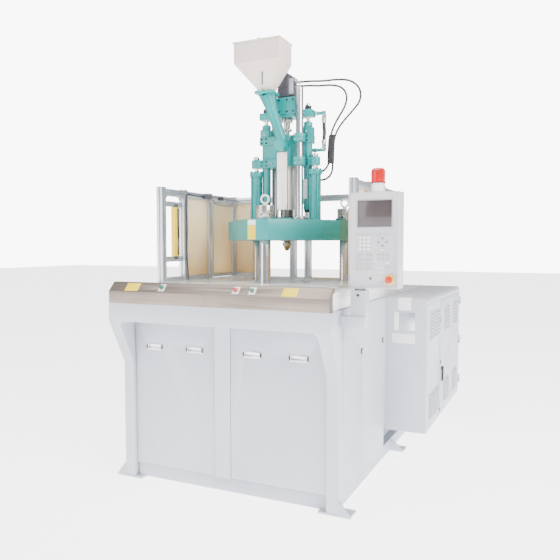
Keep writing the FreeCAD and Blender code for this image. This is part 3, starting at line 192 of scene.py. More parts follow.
def place_piece(piece, material, body, smooth=35):
    """Give a finished piece its material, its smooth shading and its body."""
    piece.data.materials.clear()
    piece.data.materials.append(material)
    if piece.type == "MESH":
        pick(piece)
        bpy.ops.object.shade_smooth_by_angle(angle=math.radians(smooth))
    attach(piece, body)
    return piece


def turned(name, start, way, outline, steps=36):
    """A lathe-turned part: an outline of (radius, height) points spun about an axis from start."""
    bpy.ops.object.select_all(action="DESELECT")
    bpy.ops.mesh.primitive_plane_add(size=0.01, location=(0, 0, 0))
    piece = bpy.context.active_object
    piece.name = name
    edit_all()
    bpy.ops.mesh.merge(type="CENTER")
    bpy.ops.transform.translate(value=(outline[0][0], 0, outline[0][1]))
    for (r0, h0), (r1, h1) in zip(outline, outline[1:]):
        bpy.ops.mesh.extrude_region_move(TRANSFORM_OT_translate={"value": (r1 - r0, 0, h1 - h0)})
    bpy.ops.mesh.select_all(action="SELECT")
    bpy.ops.mesh.spin(steps=steps, angle=2 * math.pi, center=(0, 0, 0), axis=(0, 0, 1))
    bpy.ops.mesh.select_all(action="SELECT")
    bpy.ops.mesh.remove_doubles(threshold=0.00001)
    bpy.ops.mesh.normals_make_consistent(inside=False)
    bpy.ops.object.mode_set(mode="OBJECT")
    piece.rotation_euler = Vector(way).to_track_quat("Z", "Y").to_euler()
    piece.location = start
    settle()
    return piece


def join(name, pieces):
    """Several like pieces as one."""
    pick(*pieces)
    if len(pieces) > 1:
        bpy.ops.object.join()
    piece = bpy.context.active_object
    piece.name = name
    piece.data.name = name
    return piece


def fit(name, parts, material, body, smooth=35):
    """Parts joined as one finished piece."""
    return place_piece(join(name, parts), material, body, smooth)


def drawn_metal_group():
    """Brushed, ground or turned metal: streaks along the stretch given, and faint hand marks."""
    inputs = FILM_INPUTS + [("Stretch", "NodeSocketVector", (1, 1, 1))]
    group, source, result, place = shader_group("drawn_metal", inputs, FILM_OUTPUTS)
    scaled = group.nodes.new("ShaderNodeVectorMath")
    scaled.operation = "MULTIPLY"
    group.links.new(place.outputs["Object"], scaled.inputs[0])
    group.links.new(source.outputs["Stretch"], scaled.inputs[1])
    streak = noise(group, scaled.outputs[0], source.outputs["Grain Size"], 4.0)
    mark = noise(group, place.outputs["Object"], source.outputs["Patch Size"], 5.0)
    both = join_values(group, "ADD", spread(group, streak, 0.3, 0.7, 0, 0.6),
                       spread(group, mark, 0.4, 0.7, 0, 0.4))
    colour = blend_colours(group, both, source.outputs["Colour"], source.outputs["Shade"])
    group.links.new(colour, result.inputs["Colour"])
    rough = join_values(group, "ADD", source.outputs["Gloss"], spread(group, both, 0.1, 0.9, -0.05, 0.12))
    group.links.new(rough, result.inputs["Roughness"])
    group.links.new(streak, result.inputs["Height"])
    return group


def metal(name, colour, shade, gloss, stretch, patch=8.0, grain=6.0, depth=0.0001, **sockets):
    """A bare metal finish made from the drawn metal group."""
    values = {"Colour": colour, "Shade": shade, "Gloss": gloss, "Patch Size": patch, "Grain Size": grain,
              "Stretch": stretch}
    return finish(name, drawn_metal, values, depth, metallic=1.0, **sockets)


coat_film = coat_film_group()
drawn_metal = drawn_metal_group()
hose_cover = film("hose_cover", tone(52, 52, 56), tone(38, 38, 42), 0.5, slot="hose_rubber", patch=40,
                  grain=900, depth=0.0004)
sleeve_wrap = film("sleeve_wrap", tone(44, 42, 44), tone(30, 30, 32), 0.62, slot="hose_rubber", patch=60,
                   grain=500, depth=0.001)
zinc_plate = metal("zinc_plate", tone(205, 203, 196), tone(160, 158, 152), 0.28, (40, 40, 40),
                   slot="machined_steel")
outer_points = [(0.072, -0.242, 2.556), (0.16, -0.242, 2.556), (0.265, -0.238, 2.545),
                (0.37, -0.234, 2.547), (0.462, -0.23, 2.532), (0.524, -0.226, 2.474),
                (0.526, -0.222, 2.398), (0.476, -0.218, 2.342), (0.418, -0.214, 2.288),
                (0.364, -0.21, 2.23), (0.334, -0.205, 2.158), (0.326, -0.205, 2.08), (0.325, -0.205, 2.01),
                (0.326, -0.205, 1.95), (0.3035, -0.205, 1.911), (0.2645, -0.205, 1.8885),
                (0.19, -0.205, 1.8885)]
inner_points = [(0.072, -0.242, 2.528), (0.15, -0.242, 2.528), (0.24, -0.246, 2.514), (0.33, -0.248, 2.512),
                (0.406, -0.246, 2.49), (0.44, -0.24, 2.43), (0.422, -0.234, 2.364), (0.38, -0.226, 2.308),
                (0.338, -0.218, 2.248), (0.31, -0.21, 2.18), (0.301, -0.205, 2.11), (0.3, -0.205, 2.05),
                (0.3, -0.2055, 2.003), (0.2775, -0.205, 1.964), (0.2385, -0.205, 1.9415),
                (0.19, -0.205, 1.9415)]
thick_points = [(0.262, -0.205, 2.314), (0.262, -0.205, 2.258), (0.267, -0.205, 2.212),
                (0.262, -0.205, 2.166), (0.262, -0.205, 2.118)]


def hose(name, points, radius, skin=hose_cover, body="carriage", steps=8, ring=5):
    """A hose or cable on one smooth line through its route's points."""
    curve = bpy.data.curves.new(name, "CURVE")
    curve.dimensions = "3D"
    line = curve.splines.new("NURBS")
    line.points.add(len(points) - 1)
    for point, place in zip(line.points, points):
        point.co = (*place, 1)
    line.order_u = 3
    line.use_endpoint_u = True
    line.resolution_u = steps
    curve.bevel_depth = radius
    curve.bevel_resolution = ring
    piece = bpy.data.objects.new(name, curve)
    bpy.context.scene.collection.objects.link(piece)
    return place_piece(piece, skin, body)


def ferrules(name, ends, radius):
    """Crimped sleeves with a hexagon collar at each hose end; each end gives a point and a direction."""
    parts = []
    for start, way in ends:
        step = Vector(way)
        base = Vector(start)
        outline = [(radius + 0.0006, 0.008), (radius + 0.003, 0.009), (radius + 0.0035, 0.014),
                   (radius + 0.0022, 0.016), (radius + 0.0035, 0.018), (radius + 0.0035, 0.03),
                   (radius + 0.0022, 0.032), (radius + 0.0035, 0.034), (radius + 0.003, 0.042),
                   (radius + 0.0006, 0.043)]
        parts.append(turned(name, base, step, outline, 28))
        parts.append(turned(name, base, step, [(radius + 0.0006, 0.0005), (radius + 0.005, 0.0005),
                                               (radius + 0.005, 0.0078), (radius + 0.0006, 0.0078)], 6))
    return fit(name, parts, zinc_plate, "carriage")


outer = hose("motor_hose_line", outer_points, 0.007)
inner = hose("motor_hose_return", inner_points, 0.007)
thick = hose("cylinder_hose_line", thick_points, 0.012)
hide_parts("motor_hose_outer")
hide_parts("motor_hose_inner")
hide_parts("cylinder_hose")
outer_ends = ferrules("motor_hose_ferrules", [(outer_points[0], (1, 0, 0)), (outer_points[-1], (1, 0, 0)),
                                              (inner_points[0], (1, 0, 0)), (inner_points[-1], (1, 0, 0))],
                      0.007)
thick_ends = ferrules("cylinder_hose_ferrules", [(thick_points[0], (0, 0, -1)),
                                                 (thick_points[-1], (0, 0, 1))], 0.012)


def hose_sleeve():
    """A flat oval wrap drawn over the two thin hoses, ridged where its turns overlap."""
    route = [(0.3235, 2.19), (0.3175, 2.15), (0.3145, 2.11), (0.313, 2.07), (0.3125, 2.03), (0.3125, 2.0)]
    bpy.ops.object.select_all(action="DESELECT")
    bpy.ops.mesh.primitive_circle_add(vertices=28, radius=0.0125,
                                      location=(route[0][0], -0.205, route[0][1]))
    piece = bpy.context.active_object
    settle()
    edit_all()
    middle = Vector((route[0][0], -0.205, route[0][1]))
    bpy.ops.transform.resize(value=(1.9, 1, 1), center_override=middle)
    for (x0, z0), (x1, z1) in zip(route, route[1:]):
        steps = 4
        for turn in range(steps):
            move = Vector(((x1 - x0) / steps, 0, (z1 - z0) / steps))
            bpy.ops.mesh.extrude_region_move(TRANSFORM_OT_translate={"value": move})
            middle = middle + move
            ridge = 1.07 if turn % 2 == 0 else 1 / 1.07
            bpy.ops.transform.resize(value=(ridge, ridge, 1), center_override=middle)
    bpy.ops.mesh.select_all(action="SELECT")
    bpy.ops.mesh.normals_make_consistent(inside=False)
    bpy.ops.object.mode_set(mode="OBJECT")
    wall = piece.modifiers.new("wall", "SOLIDIFY")
    wall.thickness = 0.0015
    bpy.ops.object.modifier_apply(modifier="wall")
    return fit("hose_sleeve", [piece], sleeve_wrap, "carriage", smooth=60)


sleeve = hose_sleeve()


# ---- Welded base frame
# Box-section beams, columns and feet, welded up and powder coated a light grey.
# It stands on three feet a side, each with an anchor hole.
LIGHT_GREY = tone(190, 192, 202)
grey_coat = film("grey_powder_coat", LIGHT_GREY, tone(180, 183, 193), 0.42, slot="grey_paint", patch=1.6,
                 grain=700, depth=0.00025)


def eased(node, width, body, material, smooth=35):
    """A copy of a frame piece with its sharp edges eased, standing for the piece itself."""
    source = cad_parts[node]
    piece = bpy.data.objects.new(node + "_finished", source.data.copy())
    bpy.context.scene.collection.objects.link(piece)
    pick(piece)
    edit_all()
    bpy.ops.mesh.remove_doubles(threshold=0.00002)
    bpy.ops.mesh.dissolve_limited(angle_limit=math.radians(0.5))
    bpy.ops.object.mode_set(mode="OBJECT")
    bevel = piece.modifiers.new("eased", "BEVEL")
    bevel.width = width
    bevel.segments = 2
    bevel.limit_method = "ANGLE"
    bevel.angle_limit = math.radians(40)
    bpy.ops.object.modifier_apply(modifier="eased")
    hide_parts(node)
    return place_piece(piece, material, body, smooth)


eased("base_frame", 0.003, "root", grey_coat)


# ---- Front portal
# Folded and welded sheet posts with a deep head that carries the front rail.
# Small flush locks hold the doors against it at their corners.
eased("front_portal", 0.004, "root", grey_coat)
# This dark finish is blackened steel on screws, nuts and caps, and painted shade on the latch rings,
# spanner holes and cabinet side seams.
dark_steel = film("blackened_steel_and_shade", tone(52, 52, 55), tone(38, 38, 40), 0.45, slot="black_plastic",
                  patch=20, grain=600)


def copies(name, source, moves):
    """Copies of one part, each with its own mesh, moved and joined as one piece."""
    parts = []
    for move in moves:
        part = source.copy()
        part.data = source.data.copy()
        part.location = move
        bpy.context.scene.collection.objects.link(part)
        parts.append(part)
    bpy.data.objects.remove(source)
    piece = join(name, parts)
    settle()
    return piece


def cap_screw(name, way, radius, socket=True):
    """A socket-head cap screw's head standing on the origin along way."""
    head = radius * 1.1
    outline = [(0, 0), (radius, 0), (radius, head * 0.86), (radius * 0.88, head), (radius * 0.5, head),
               (radius * 0.5, head * 0.4), (0, head * 0.4)]
    if not socket:
        outline = [(0, 0), (radius, 0), (radius, head * 0.5), (radius * 0.8, head * 0.7), (0, head * 0.72)]
    return turned(name, (0, 0, 0), way, outline, 18)


def fit_copies(name, source, moves, material, body):
    """One part copied to each place, as one finished piece."""
    return place_piece(copies(name, source, moves), material, body)


def screws(name, way, radius, moves, material, body, socket=True):
    """Screw or rivet heads standing on their places along way, as one finished piece."""
    return fit_copies(name, cap_screw("screw", way, radius, socket), moves, material, body)


DOOR_LOW, DOOR_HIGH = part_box("front_doors")
mullion = (-0.066, 0.036)
lock_inset = 0.022
lock_xs = [DOOR_LOW.x + lock_inset, mullion[0] - lock_inset, mullion[1] + lock_inset,
           DOOR_HIGH.x - lock_inset]
lock_zs = [DOOR_LOW.z + 0.03, (DOOR_LOW.z + DOOR_HIGH.z) / 2, DOOR_HIGH.z - 0.03]
lock_places = [(x, -1.108, z) for x in lock_xs for z in lock_zs]
fit_copies("door_locks", turned("lock", (0, 0, 0), (0, -1, 0),
                                [(0, 0.0004), (0.003, 0.0004), (0.003, 0.0012), (0.0055, 0.0012),
                                 (0.0062, 0)], 24), lock_places, zinc_plate, "root")


# ---- Front doors
# Two lift-off doors folded from sheet, each with two flush finger cups.
# The cups are bright pressings with dark clips at their ends.
eased("front_doors", 0.0025, "root", grey_coat)
bright_pressing = metal("bright_pressing", tone(236, 236, 238), tone(205, 206, 210), 0.22, (30, 4, 4),
                        slot="ground_steel")
eased("door_handles", 0.001, "root", bright_pressing)


def block(name, low, high, ease):
    """A block between two corners with eased edges."""
    bpy.ops.object.select_all(action="DESELECT")
    middle = [(a + b) / 2 for a, b in zip(low, high)]
    bpy.ops.mesh.primitive_cube_add(size=1, location=middle, scale=[b - a for a, b in zip(low, high)])
    piece = bpy.context.active_object
    piece.name = name
    settle()
    edit_all()
    bpy.ops.mesh.bevel(offset=ease, segments=2, affect="EDGES")
    bpy.ops.object.mode_set(mode="OBJECT")
    return piece


HANDLE_XS = (-0.49, -0.205, 0.178, 0.464)
HANDLE_Z = 0.83
clips = []
for handle_x in HANDLE_XS:
    for side in (-1, 1):
        edge = handle_x + side * 0.0535
        clips.append(block("clip", (edge - 0.004, -1.1135, HANDLE_Z - 0.013),
                           (edge + 0.004, -1.1082, HANDLE_Z + 0.013), 0.0012))
fit("handle_clips", clips, dark_steel, "root")


# ---- Side covers
# Folded sheet covers on both sides, each held by a quarter-turn latch.
# The latch is a zinc disc with a slot, set in a dark ring of painted shadow.
eased("side_covers", 0.0025, "root", grey_coat)
cover_ends = (-0.69, -0.234, 0.4, 1.125)
latch_ys = [end - 0.04 for end in cover_ends]
for side, hand, shown in ((1, "right", latch_ys[:2]), (-1, "left", latch_ys)):
    way = (side, 0, 0)
    places = [(side * 0.7022, y, HANDLE_Z) for y in shown]
    # The dark ring round each knob is painted shadow.
    ring = turned("ring", (0, 0, 0), way, [(0.0185, 0), (0.0185, 0.0022), (0.0165, 0.0032),
                                           (0.0125, 0.0032), (0.0125, 0)], 32)
    fit_copies("latch_shadow_rings_" + hand, ring, places, dark_steel, "root")
    knob = turned("knob", (0, 0, 0), way, [(0.012, 0), (0.012, 0.004), (0.01, 0.0055), (0.006, 0.0055),
                                           (0.0045, 0.0035), (0, 0.0035)], 32)
    fit_copies("latch_knobs_" + hand, knob, places, zinc_plate, "root")


# ---- Rear and top covers
# The louvred back panel and the lid behind the deck, screwed on with button heads.
# They are folded from the same sheet as the side covers.
eased("rear_covers", 0.0025, "root", grey_coat)
BACK_LOW, BACK_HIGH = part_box("rear_covers")
screw_places = [(x, BACK_HIGH.y - 0.003, z) for x in (-0.66, -0.22, 0.22, 0.66)
                for z in (BACK_LOW.z + 0.03, 0.45, 0.82, 1.05)]
screws("back_panel_screws", (0, 1, 0), 0.006, screw_places, zinc_plate, "root", socket=False)
lid_places = [(x, y, BACK_HIGH.z) for x in (-0.66, 0, 0.66) for y in (0.3, 0.68, 1.08)]
screws("top_panel_screws", (0, 0, 1), 0.006, lid_places, zinc_plate, "root", socket=False)


# ---- Front rail
# Folded stainless rail with long brushing, split at its middle by a fine seam.
# The sloping face carries the buttons on plain square plates and two blank yellow plates.
brushed_stainless = metal("brushed_stainless", tone(156, 143, 134), tone(126, 115, 107), 0.46,
                          (0.35, 26, 26), slot="stainless", patch=2.4, grain=9, depth=0.00015)
eased("apron", 0.0015, "root", brushed_stainless)
yellow_plate = film("yellow_plate", tone(248, 216, 0), tone(240, 204, 0), 0.45, slot="curtain_yellow",
                    patch=14)
white_plate = film("white_plate", tone(240, 240, 240), tone(226, 227, 230), 0.38, slot="deck_white",
                   patch=12)
red_cap = film("red_cap", tone(208, 6, 10), tone(176, 2, 6), 0.22, slot="red_plastic", patch=30,
               Coat_Weight=0.6, Coat_Roughness=0.1)
green_cap = film("green_cap", tone(4, 112, 82), tone(2, 84, 62), 0.24, slot="green_plastic", patch=30,
                 Coat_Weight=0.6, Coat_Roughness=0.1)
slope_foot = Vector((0, -1.266, 1.175))
slope_top = Vector((0, -1.216, 1.228))
slope_middle = (slope_foot + slope_top) / 2
slope_out = Vector((0, -0.7274, 0.6862))
slope_turn = math.atan2(slope_top.z - slope_foot.z, slope_top.y - slope_foot.y)


def on_slope(piece):
    """Lay a piece, made flat about the origin, onto the rail's sloping face."""
    pick(piece)
    piece.rotation_euler = (slope_turn, 0, 0)
    piece.location = slope_middle
    settle()
    return piece


for number, (x0, x1) in enumerate(((-0.591, -0.497), (0.427, 0.514))):
    plate = block("plate", (x0, -0.029, 0.0001), (x1, 0.029, 0.0009), 0.0003)
    fit("blank_yellow_plate_" + str(number), [on_slope(plate)], yellow_plate, "root")
button_xs = {"left_green_button": -0.336, "red_button": 0.149, "right_green_button": 0.25}
backs = [on_slope(block("back", (x - 0.019, -0.024, 0.0001), (x + 0.021, 0.026, 0.0014), 0.0004))
         for x in button_xs.values()]
fit("button_plates", backs, white_plate, "root")
collar_outline = [(0.0103, 0.0012), (0.0152, 0.0012), (0.0152, 0.003), (0.0138, 0.0046), (0.0112, 0.0046),
                  (0.0103, 0.003)]
collar = turned("collar", (0, 0, 0), slope_out, collar_outline, 32)
fit_copies("button_collars", collar, [slope_middle + Vector((x, 0, 0)) for x in button_xs.values()],
           zinc_plate, "root")
for node, body, cap in (("left_green_button", "left_green", green_cap), ("red_button", "red", red_cap),
                        ("right_green_button", "right_green", green_cap)):
    eased(node, 0.0018, body, cap)
seam_x = -0.036
rail_seam = block("rail_seam", (seam_x - 0.0007, -1.266, 1.1056), (seam_x + 0.0007, -1.2655, 1.1745),
                  0.0002)
fit("rail_seam", [rail_seam], dark_steel, "root")
screws("rail_screws", (0, -1, 0), 0.0045, [(seam_x + side * 0.02, -1.2624, 1.12) for side in (-1, 1)],
       zinc_plate, "root", socket=False)


# ---- Deck plate
# A white enamelled deck with turned-down sides, fixed round its edge with countersunk screws.
# A bare yellow strip marks the step behind the table.
white_enamel = film("white_enamel", tone(243, 242, 240), tone(233, 231, 228), 0.16, slot="deck_white",
                    patch=1.2, grain=300, depth=0.00015, Coat_Weight=0.5, Coat_Roughness=0.08)
eased("deck", 0.002, "root", white_enamel)
DECK_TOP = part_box("deck")[1].z
sunk = [(0, 0.0002), (0.0028, 0.0002), (0.0028, 0.0006), (0.0062, 0.0006), (0.0068, 0)]
edge_places = [(side * 0.672, y, DECK_TOP) for side in (-1, 1)
               for y in (-1.16, -0.86, -0.6, -0.3, 0.0, 0.24)]
edge_places += [(x, y, DECK_TOP) for x in (-0.36, 0.36) for y in (-1.19, 0.24)]
fit_copies("deck_screws", turned("screw", (0, 0, 0), (0, 0, 1), sunk, 24), edge_places, zinc_plate, "root")
strip = block("yellow_step_strip", (0.022, 0.15, 1.2002), (0.237, 0.174, 1.204), 0.0008)
fit("yellow_step_strip", [strip], yellow_plate, "root")


# ---- Rotary table
# A thick steel disc, ground and white coated, with tapped holes for two lower mould halves.
# Bright bushes line the holes, and a turned groove runs near the rim.
eased("rotary_table", 0.002, "table", white_enamel)
TABLE_Y = -0.58
TABLE_TOP = 1.206
groove = [(0.58, 0), (0.58, 0.0006), (0.5815, 0.0009), (0.586, 0.0009), (0.5875, 0.0006), (0.5875, 0)]
fit("table_rim_line", [turned("line", (0, TABLE_Y, TABLE_TOP), (0, 0, 1), groove, 128)], zinc_plate,
    "table")
bush = [(0.008, 0), (0.008, 0.0008), (0.0115, 0.0008), (0.0125, 0)]
bush_places = [(dx, y + dy, TABLE_TOP) for dx in (-0.175, 0.175) for y in (-0.232, -0.928)
               for dy in (-0.12, 0.12)]
fit_copies("table_bushes", turned("bush", (0, 0, 0), (0, 0, 1), bush, 28), bush_places, zinc_plate, "table")


# ---- Table drive
# Ring gear, pinion, slewing bearing and servo motor under the table, greased and unpainted.
# The motor housing is dark enamel with cooling ribs down its sides.
oiled_steel = metal("oiled_steel", tone(148, 144, 138), tone(104, 100, 96), 0.34, (6, 6, 60),
                    slot="oiled_steel", patch=14)
dark_enamel = film("dark_enamel", tone(84, 84, 92), tone(68, 68, 76), 0.36, slot="dark_motor", patch=8,
                   grain=500)
for node, body in (("ring_gear", "table"), ("table_pinion", "pinion"), ("slew_bearing", "root")):
    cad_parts[node].data.materials.clear()
    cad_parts[node].data.materials.append(oiled_steel)
eased("bed_plate", 0.003, "root", oiled_steel)
eased("table_motor", 0.003, "root", dark_enamel)
MOTOR_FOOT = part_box("table_motor")[0].z
motor_x, motor_y = -0.2717, -0.8517
ribs = []
for rib in range(7):
    y = motor_y - 0.036 + rib * 0.012
    ribs.append(block("rib", (motor_x - 0.05, y - 0.0018, MOTOR_FOOT + 0.02),
                      (motor_x - 0.045, y + 0.0018, MOTOR_FOOT + 0.14), 0.0008))
fit("servo_ribs", ribs, dark_enamel, "root")


# ---- Clamp
# Cast platen and tail plate in teal enamel on three hard-chromed tie bars.
# Round steel nuts with spanner holes close the bars, and each top nut carries a lifting eye.
TEAL = tone(0, 146, 144)
TEAL_SHADE = tone(0, 130, 130)
teal_cast = film("teal_cast_enamel", TEAL, TEAL_SHADE, 0.34, slot="teal_cast", patch=3.5, grain=160,
                 depth=0.0012, Coat_Weight=0.15, Coat_Roughness=0.2)
teal_smooth = film("teal_smooth_enamel", TEAL, TEAL_SHADE, 0.3, slot="teal_paint", patch=4.0, grain=600,
                   depth=0.0002, Coat_Weight=0.2, Coat_Roughness=0.15)
hard_chrome = metal("hard_chrome", tone(226, 226, 232), tone(190, 190, 198), 0.14, (2, 2, 220),
                    slot="ground_steel", patch=5, grain=4, depth=0.00004)
turned_steel = metal("turned_steel", tone(212, 210, 206), tone(168, 166, 162), 0.26, (4, 4, 260),
                     slot="machined_steel", patch=16, grain=5)
bronze = metal("bronze", tone(196, 152, 92), tone(150, 110, 64), 0.32, (4, 4, 200), slot="bronze", patch=20)
eased("upper_platen", 0.005, "clamp", teal_cast)
eased("lower_crosshead", 0.005, "clamp", teal_cast)
eased("clamp_cylinder", 0.003, "root", teal_smooth)
eased("clamp_ram", 0.002, "clamp", hard_chrome)
eased("tie_bars", 0.002, "clamp", hard_chrome)
eased("tie_bar_bushes", 0.001, "root", bronze)
eased("tie_bar_nuts", 0.0025, "clamp", turned_steel)
TIE_PLACES = ((0.0, -0.58, 0.057), (-0.346, -0.008, 0.052), (0.346, -0.008, 0.052))
PLATEN_TOP = 1.613
# Each spanner hole is a dark disc on the nut face: painted shade standing in for the hole.
spanner_hole_shadows = []
nut_bands = []
for tie_x, tie_y, nut_r in TIE_PLACES:
    for turn in range(6):
        angle = math.radians(30 + 60 * turn)
        way = Vector((math.cos(angle), math.sin(angle), 0))
        start = Vector((tie_x, tie_y, PLATEN_TOP + 0.03)) + way * (nut_r - 0.001)
        spanner_hole_shadows.append(turned("hole", start, way, [(0.0066, 0.0004), (0.0066, 0.0016),
                                                         (0.0048, 0.0016), (0.004, 0.0011), (0, 0.0011)],
                                    20))
    for height in (0.052, 0.071):
        nut_bands.append(turned("band", (tie_x, tie_y, PLATEN_TOP + height), (0, 0, 1),
                                [(nut_r - 0.0004, 0), (nut_r + 0.0002, 0.0006), (nut_r + 0.0002, 0.0022),
                                 (nut_r - 0.0004, 0.0028)], 48))
fit("nut_spanner_hole_shadows", spanner_hole_shadows, dark_steel, "clamp")
fit("nut_turned_bands", nut_bands, oiled_steel, "clamp")
pale_enamel = film("pale_eye_enamel", tone(238, 238, 240), tone(214, 214, 218), 0.3, slot="machined_steel",
                   patch=18)
eased("eyebolts", 0.0006, "clamp", pale_enamel)
plate_colours = (("platen_plate_upper", 1.575, 1.608, white_plate),
                 ("platen_plate_lower", 1.484, 1.573, yellow_plate))
for name, z0, z1, colour in plate_colours:
    plate = block("plate", (-0.068, -0.6914, z0), (-0.012, -0.6901, z1), 0.0004)
    fit(name, [plate], colour, "clamp")
platen_bolts = [(side * x, y, PLATEN_TOP) for side in (-1, 1) for x,
                y in ((0.22, -0.4), (0.38, -0.26), (0.38, 0.06))]
screws("platen_plugs", (0, 0, 1), 0.011, platen_bolts, dark_steel, "clamp")
ring_bolts = [(0.08 * math.cos(a), -0.232 + 0.08 * math.sin(a), 1.635)
              for a in (math.radians(15 + 30 * k) for k in range(12))]
screws("seat_ring_screws", (0, 0, 1), 0.0062, ring_bolts, dark_steel, "clamp")


# ---- Injection unit guides and lifting cylinders
# Two chromed guide bars stand on the platen in flanged feet.
# The lifting cylinders have four tie rods each, between a foot flange and a gland plate.
eased("guide_bars", 0.002, "clamp", hard_chrome)
eased("carriage_cylinders", 0.002, "clamp", teal_smooth)
eased("carriage_rods", 0.0012, "carriage", hard_chrome)
LIFT_XS = (-0.222, 0.222)
LIFT_Y = -0.262
LIFT_R = 0.033
rods = []
rod_nuts = []
for lift_x in LIFT_XS:
    for turn in range(4):
        angle = math.radians(45 + 90 * turn)
        x = lift_x + (LIFT_R + 0.0052) * math.cos(angle)
        y = LIFT_Y + (LIFT_R + 0.0052) * math.sin(angle)
        rods.append(turned("rod", (x, y, PLATEN_TOP + 0.02), (0, 0, 1),
                           [(0, 0), (0.0046, 0), (0.0046, 0.318), (0.004, 0.32), (0, 0.32)], 12))
        rod_nuts.append(turned("nut", (x, y, 1.9585), (0, 0, 1),
                               [(0, 0), (0.0078, 0), (0.0078, 0.0066), (0.0062, 0.008), (0.0034, 0.008),
                                (0.0034, 0.011), (0, 0.011)], 6))
    rods.append(turned("end", (lift_x, LIFT_Y, 1.924), (0, 0, 1),
                       [(0.0332, 0), (0.046, 0.001), (0.047, 0.004), (0.047, 0.032), (0.046, 0.0345),
                        (0.016, 0.0345)], 40))
fit("lifting_tie_rods", rods, teal_smooth, "clamp")
fit("lifting_rod_nuts", rod_nuts, dark_steel, "clamp")
foot_bolts = [(x + 0.0335 * math.cos(a), y + 0.0335 * math.sin(a), PLATEN_TOP + 0.026) for x,
              y in ((0.128, -0.313), (-0.128, -0.151)) for a in (math.radians(60 * k) for k in range(6))]
screws("guide_foot_screws", (0, 0, 1), 0.0048, foot_bolts, dark_steel, "clamp")


# ---- Injection housing
# The cast carriage with split bosses on the guide bars, bolted up with socket screws.
# Grease nipples and a drain plug sit on its front.
eased("injection_housing", 0.003, "carriage", teal_cast)
eased("injection_cylinders", 0.002, "carriage", teal_smooth)
eased("injection_rods", 0.0012, "injector", hard_chrome)
HOUSE_Z0, HOUSE_Z1 = 1.985, 2.196
INJ_Y = -0.232
INJ_X = 0.157
PORT_Y = -0.205
flange_screws = []
for z, gap in ((HOUSE_Z0 + 0.0275, 0.014), (HOUSE_Z1 - 0.0275, 0.014)):
    for x in (-0.175, -0.139, 0.105, 0.168):
        for step in (-gap, gap):
            flange_screws.append((x, INJ_Y - 0.046, z + step))
screws("flange_face_screws", (0, -1, 0), 0.0056, flange_screws, dark_steel, "carriage")
boss_screws = [(0.128 + side * 0.018, -0.313 - 0.0355, z) for side in (-1, 1)
               for z in (HOUSE_Z0 + 0.014, HOUSE_Z0 + 0.041, HOUSE_Z1 - 0.041, HOUSE_Z1 - 0.014)]
screws("guide_boss_screws", (0, -1, 0), 0.0052, boss_screws, zinc_plate, "carriage")
top_screws = [(side * x, INJ_Y + y, HOUSE_Z1) for side in (-1, 1) for x,
              y in ((0.058, -0.026), (0.058, 0.026))]
top_screws += [(side * INJ_X + dx, INJ_Y + dy, HOUSE_Z1 + 0.05) for side in (-1, 1)
               for dx in (-0.026, 0.026) for dy in (-0.026, 0.026)]
screws("cylinder_head_screws", (0, 0, 1), 0.006, top_screws, dark_steel, "carriage")
nipple = [(0, 0), (0.0062, 0), (0.0062, 0.004), (0.0035, 0.0055), (0.0035, 0.0095), (0.0045, 0.011),
          (0.0038, 0.015), (0.0018, 0.0165), (0, 0.0165)]
nipple_places = [(-INJ_X, INJ_Y - 0.034, HOUSE_Z1 + 0.018), (INJ_X, INJ_Y - 0.034, HOUSE_Z1 + 0.018),
                 (-0.1, INJ_Y - 0.046, HOUSE_Z0 + 0.0275)]
fit_copies("grease_nipples", turned("nipple", (0, 0, 0), (0, -1, 0), nipple, 20), nipple_places, zinc_plate,
           "carriage")
gland_outline = [(0.0128, 0), (0.0235, 0), (0.0235, 0.0035), (0.022, 0.0045), (0.0185, 0.0045),
                 (0.018, 0.0058), (0.0126, 0.0058)]
glands = [turned("gland", (side * INJ_X, INJ_Y, 2.2802), (0, 0, 1), gland_outline, 36) for side in (-1, 1)]
fit("rod_glands", glands, dark_steel, "carriage")
port_places = [(0.166, PORT_Y, 1.8885), (0.166, PORT_Y, 1.9415)]
collars = [turned("port", place, (1, 0, 0), [(0.0092, 0.013), (0.0125, 0.013), (0.0125, 0.0235),
                                             (0.0092, 0.0235)], 6) for place in port_places]
collars.append(turned("port", (0.186, PORT_Y, 2.095), (1, 0, 0),
                      [(0.0112, 0.006), (0.016, 0.006), (0.016, 0.02), (0.0112, 0.02)], 6))
collars.append(turned("port", (0.262, PORT_Y, 2.094), (0, 0, 1),
                      [(0.0131, 0), (0.0175, 0), (0.0175, 0.012), (0.0131, 0.012)], 6))
fit("port_collars", collars, zinc_plate, "carriage")
plate = block("cylinder_blank_plate", (0.133, INJ_Y - 0.0313, 1.763), (0.163, INJ_Y - 0.0303, 1.894),
              0.0003)
fit("cylinder_blank_plate", [plate], white_plate, "carriage")
caps = [turned("cap", (side * INJ_X, INJ_Y, 1.676), (0, 0, 1),
               [(0, -0.004), (0.02, -0.004), (0.024, 0), (0.0262, 0.001), (0.0262, 0.011), (0.03, 0.014)],
               32) for side in (-1, 1)]
fit("cylinder_end_caps", caps, dark_steel, "carriage")


